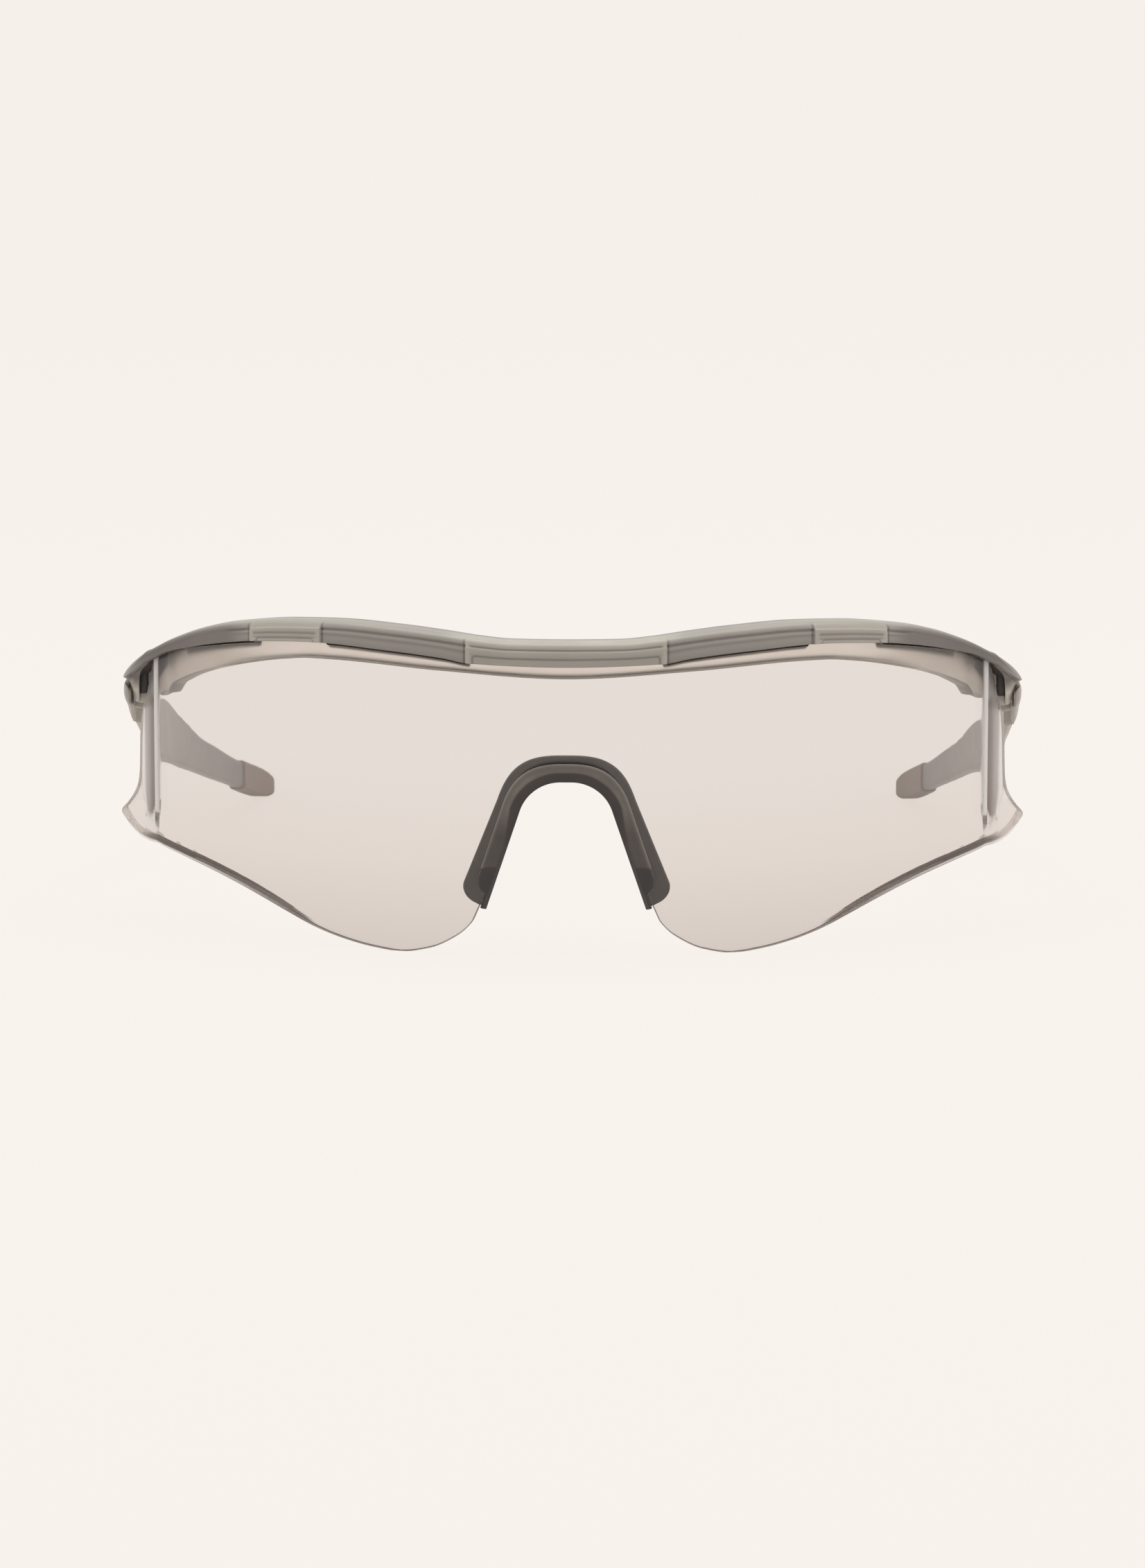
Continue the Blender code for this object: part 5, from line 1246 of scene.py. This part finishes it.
def temple_rings(share, grow=0.0, lift=0.0):
    """Rings at shares of the reach: upright oblongs between the low, high, inner and outer curves.

    Each corner is a quarter of an ellipse. At the shoulder the two outer ones are large, so that the
    outer side is nearly round there; along the blade all four are alike.
    """
    share = np.asarray(share, float)
    y = HINGE_Y + TEMPLE_REACH * share
    low = FRONT_HEIGHT * through(TEMPLE_LOW_SHARES, share) - lift
    high = FRONT_HEIGHT * through(TEMPLE_HIGH_SHARES, share) + lift
    inner = LENS_HALF_WIDTH * through(TEMPLE_INNER_SHARES, share)
    outer = inner + through(BLADE_THICKNESSES, share)
    start = TEMPLE_INNER_SHARES[0][0]
    inner = np.where(share < start, SHOULDER_X, inner)
    lead = np.clip((share + SHOULDER_AHEAD / TEMPLE_REACH) / LEAD_SHARE, 0, 1)
    swell = LEAD_SWELL + (1 - LEAD_SWELL) * np.sqrt(1 - (1 - lead) ** 2)
    blend = ease((share - start) / 0.12)
    shoulder = 1 - ease((share - 0.06) / 0.16)
    outer = (SHOULDER_X + SHOULDER_THICKNESS * swell) * (1 - blend) + outer * blend
    inner, outer = inner - grow, outer + grow
    wide, tall = outer - inner, high - low
    corner = np.minimum(BLADE_CORNER, np.minimum(wide, tall) * 0.42)
    flat = corner * (1 - shoulder) + wide * 0.8 * shoulder  # how far an outer corner reaches inwards
    deep = [corner * (1 - shoulder) + tall * part * shoulder for part in (0.56, 0.36)]  # and in height
    turn = np.radians(np.linspace(0, 90, 9) + np.array([[180], [270], [0], [90]]))
    across = np.stack([corner, flat, flat, corner], 1)[:, :, None]
    upright = np.stack([corner, deep[0], deep[1], corner], 1)[:, :, None]
    side = np.stack([inner, outer, outer, inner], 1)[:, :, None]
    level_at = np.stack([low, low, high, high], 1)[:, :, None]
    x = side + across * (np.cos(turn) + np.array([1, -1, -1, 1])[:, None])
    z = level_at + upright * (np.sin(turn) + np.array([1, 1, -1, -1])[:, None])
    x, z = x.reshape(len(y), -1), z.reshape(len(y), -1)
    free = ease((share[:, None] - SEAM_FREE_FROM) / SEAM_FREE_OVER)
    seam = SEAM_Z + SEAM_SLOPE * (x - SHOULDER_X) + SEAM_LIFT * free
    return np.stack([x, np.repeat(y[:, None], x.shape[1], 1), np.minimum(z, seam)], -1)


# %% [markdown]
# The arm's front end would be a flat cut, so its first rings shrink quickly, like the end of a
# thumb. The tongue is a small slab that fits between the leaves of the fork.


# %% Temple arms
def arm_shells():
    """The blade from its rounded nose to the grip, and the tongue round the hinge axis."""
    first, grip_at = -SHOULDER_AHEAD / TEMPLE_REACH, 1 - GRIP_LENGTH / TEMPLE_REACH
    lead = first + LEAD_SHARE * np.linspace(0, 1, 14) ** 2
    rings = temple_rings(np.concatenate([lead, np.linspace(first + LEAD_SHARE + 0.002, grip_at, 150)]))
    middle = rings[0].mean(0)
    nose = np.stack([middle + (rings[0] - middle) * (size, 1, size) for size, _ in NOSE_RINGS])
    nose[:, :, 1] = rings[0][:, 1] - np.array([[ahead] for _, ahead in NOSE_RINGS])
    tang = np.linspace(grip_at, grip_at + TANG_LENGTH / TEMPLE_REACH, 12)
    tang = temple_rings(tang, -TANG_INSET, -TANG_HEIGHT_INSET)
    blade = skin(np.concatenate([nose, rings, tang]))
    knuckle = arc((HINGE_X, HINGE_Y), KNUCKLE_RADIUS, math.pi / 2, math.pi * 1.75, 40)
    root, half = SHOULDER_X + SHOULDER_THICKNESS / 2, TONGUE_THICKNESS / 2
    web = np.array([(root, HINGE_Y - KNUCKLE_RADIUS * 0.7), (root, HINGE_Y + KNUCKLE_RADIUS)])
    tongue = slab(np.concatenate([knuckle, web]), HINGE_Z - half, HINGE_Z + half, TONGUE_EDGE)
    return [blade, tongue]


shells = arm_shells()
blade_way = (shells[0][0][:, 1] - HINGE_Y) / TEMPLE_REACH
blade_tone = np.interp(blade_way, *np.array(ARM_TONES).T)
values = {"tone": np.append(blade_tone, np.full(len(shells[1][0]), TONGUE_TONE))}
for side, sign in SIDES:
    body, replaced = f"temple_{side}", [f"temple_arm_{side}"]
    piece(f"temple_{side}_blade", sided(shells, sign), nylon, body, replaced, values)


# %% [markdown]
# ## Grips
# A grip is a rubber sleeve over the last part of the arm. It stands a little proud, so it has a soft
# step at its front edge, and it closes with a rounded end. Where it lies on the table it is flat.


# %% Rubber grips
GRIP_DOME_SHARES = ((0, 1), (0.35, 0.93), (0.7, 0.72), (0.9, 0.5), (1, 0.3))
GRIP_TONES = ((0.77, 0.62), (0.97, 0.4))
GRIP_STEP_LENGTH, GRIP_BODY_FROM = 0.0004, 0.0006


def grip_shell():
    """Rings from the bottom of its socket forwards, over the front edge, back along the outside to the end.

    The end shrinks towards a point near its low edge, and nothing goes lower than Z = 0.
    """
    start, dome = 1 - (GRIP_LENGTH - FIT_GAP) / TEMPLE_REACH, GRIP_DOME / TEMPLE_REACH
    socket_end = 1 - (GRIP_LENGTH - TANG_LENGTH - FIT_GAP) / TEMPLE_REACH
    socket = np.linspace(socket_end, start, 10)
    socket = temple_rings(socket, FIT_GAP - TANG_INSET, FIT_GAP - TANG_HEIGHT_INSET)
    edge = np.linspace(0, 1, 6)
    grow = GRIP_WALL * np.sqrt(1 - (1 - edge) ** 2) * 1.3 - GRIP_WALL * 0.3
    step_way = start + GRIP_STEP_LENGTH * edge / TEMPLE_REACH
    step = [temple_rings([way], wall, wall)[0] for way, wall in zip(step_way, grow)]
    body = np.linspace(start + GRIP_BODY_FROM / TEMPLE_REACH, 1 - dome, 70)
    body = temple_rings(body, GRIP_WALL, GRIP_WALL)
    way = np.linspace(0, 1, 24)[1:]
    cap = temple_rings(1 - dome + dome * way, GRIP_WALL, GRIP_WALL)
    size = through(GRIP_DOME_SHARES, way)[:, None, None]
    middle = cap.mean(1, keepdims=True)
    low = cap[..., 2].min(1)[:, None]
    middle[..., 2] = low + (middle[..., 2] - low) * 0.25
    cap = middle + (cap - middle) * np.concatenate([size, np.ones_like(size), size], -1)
    rings = np.concatenate([socket, np.stack(step), body, cap])
    rings[..., 2] = np.maximum(rings[..., 2], 0)
    return skin(rings)


shell = grip_shell()
grip_way = (shell[0][:, 1] - HINGE_Y) / TEMPLE_REACH
values = {"tone": np.interp(grip_way, *np.array(GRIP_TONES).T)}
for side, sign in SIDES:
    body, replaced = f"temple_{side}", [f"temple_grip_{side}"]
    piece(f"temple_{side}_grip", sided([shell], sign), grip_rubber, body, replaced, values)

# %% [markdown]
# ## Floor and light
# The glasses stand on a seamless pale table in soft studio light. A lamp bright enough to turn the
# table cream would wash out the nylon, so for rays from the camera, and for those that pass through
# the shield or bounce off it, the table adds part of its own colour. It still takes the shadow.

# %% The table
CREAM = (0.947, 0.896, 0.855)
PAPER_GLOW = 0.94
TABLE_HALF = 14.0
paper, tree, shader = finish("cream paper", (0.8, 0.765, 0.735), 0.9, Specular_IOR_Level=0.2)
sheen = add(tree, "ShaderNodeEmission", Color=(*CREAM, 1), Strength=1.0)
rays = add(tree, "ShaderNodeLightPath").outputs
seen = maths(tree, "ADD", rays["Is Camera Ray"], rays["Is Glossy Ray"], clamp=True)
seen = maths(tree, "ADD", seen, rays["Is Transmission Ray"], clamp=True)
glow = maths(tree, "MULTIPLY", seen, PAPER_GLOW)
both = add(tree, "ShaderNodeMixShader", glow, shader.outputs[0], sheen.outputs[0])
feed(tree, both.outputs[0], tree.nodes["Material Output"].inputs["Surface"])
mesh = bpy.data.meshes.new("table")
corners = [(TABLE_HALF * x, TABLE_HALF * y, 0) for x, y in ((-1, -1), (1, -1), (1, 1), (-1, 1))]
mesh.from_pydata(corners, [], [(0, 1, 2, 3)])
mesh.materials.append(paper)
table = bpy.data.objects.new("table", mesh)
table.location.z = -0.00002
bpy.context.scene.collection.objects.link(table)


# %% [markdown]
# Three soft boxes do the lighting: a wide one above lights the bead, whose bright band is also a painted
# highlight in the nylon's tone, and one on each side opens the shadows. The world is an even pale grey,
# and a little brighter where it is only mirrored in the shield or seen through it, as the walls of a
# white studio would be.


# %% Lamps and world
def soft_box(name, place, aim, size, watts):
    """A soft rectangular lamp at a place, turned towards a point."""
    lamp = bpy.data.lights.new(name, "AREA")
    lamp.shape = "RECTANGLE"
    lamp.size, lamp.size_y = size
    lamp.energy = watts
    made = bpy.data.objects.new(name, lamp)
    made.location = place
    made.rotation_euler = (Vector(aim) - Vector(place)).to_track_quat("-Z", "Y").to_euler()
    bpy.context.scene.collection.objects.link(made)


soft_box("overhead", (0, 0.05, 0.8), (0, 0, 0), (0.9, 0.5), 3.6)
soft_box("left window", (-0.9, -0.5, 0.5), (0, 0, 0.02), (0.5, 0.7), 2.0)
soft_box("right window", (0.9, -0.4, 0.5), (0, 0, 0.02), (0.5, 0.7), 2.4)
SKY_STRENGTHS = (0.55, 0.92)  # seen directly or lighting the scene, and seen through or in the shield
world = bpy.data.worlds.new("studio")
world.use_nodes = True
tree = world.node_tree
rays = add(tree, "ShaderNodeLightPath").outputs
through_shield = maths(tree, "ADD", rays["Is Glossy Ray"], rays["Is Transmission Ray"], clamp=True)
sky = tree.nodes["Background"].inputs
sky["Color"].default_value = (1, 0.975, 0.95, 1)
feed(tree, mapped(tree, through_shield, 0, 1, *SKY_STRENGTHS), sky["Strength"])
bpy.context.scene.world = world

# %% [markdown]
# ## Camera
# The picture is taken from about nine tenths of a metre, a hand's height above the glasses, with a
# long lens, slightly from the wearer's left.

# %% Camera
FOCUS_PIXELS, TALL_PIXELS = 8460, 2262
CAMERA_X, CAMERA_AWAY, CAMERA_Z = 0.020, 0.900, 0.177
view = bpy.data.cameras.new("front view")
view.sensor_width = 36
view.lens = FOCUS_PIXELS * view.sensor_width / TALL_PIXELS
view.clip_start, view.clip_end = 0.02, 60
camera = bpy.data.objects.new("front view", view)
camera.location = (CAMERA_X, ORIGIN_Y - CAMERA_AWAY, CAMERA_Z)
pitch, yaw = math.radians(9.426), -(CAMERA_X / CAMERA_AWAY - 9.5 / FOCUS_PIXELS)
ahead = Vector((math.sin(yaw) * math.cos(pitch), math.cos(yaw) * math.cos(pitch), -math.sin(pitch)))
camera.rotation_euler = ahead.to_track_quat("-Z", "Y").to_euler()
bpy.context.scene.collection.objects.link(camera)
bpy.context.scene.camera = camera
bpy.context.scene.view_settings.view_transform = "Standard"
print("lens", round(view.lens, 1), "mm")
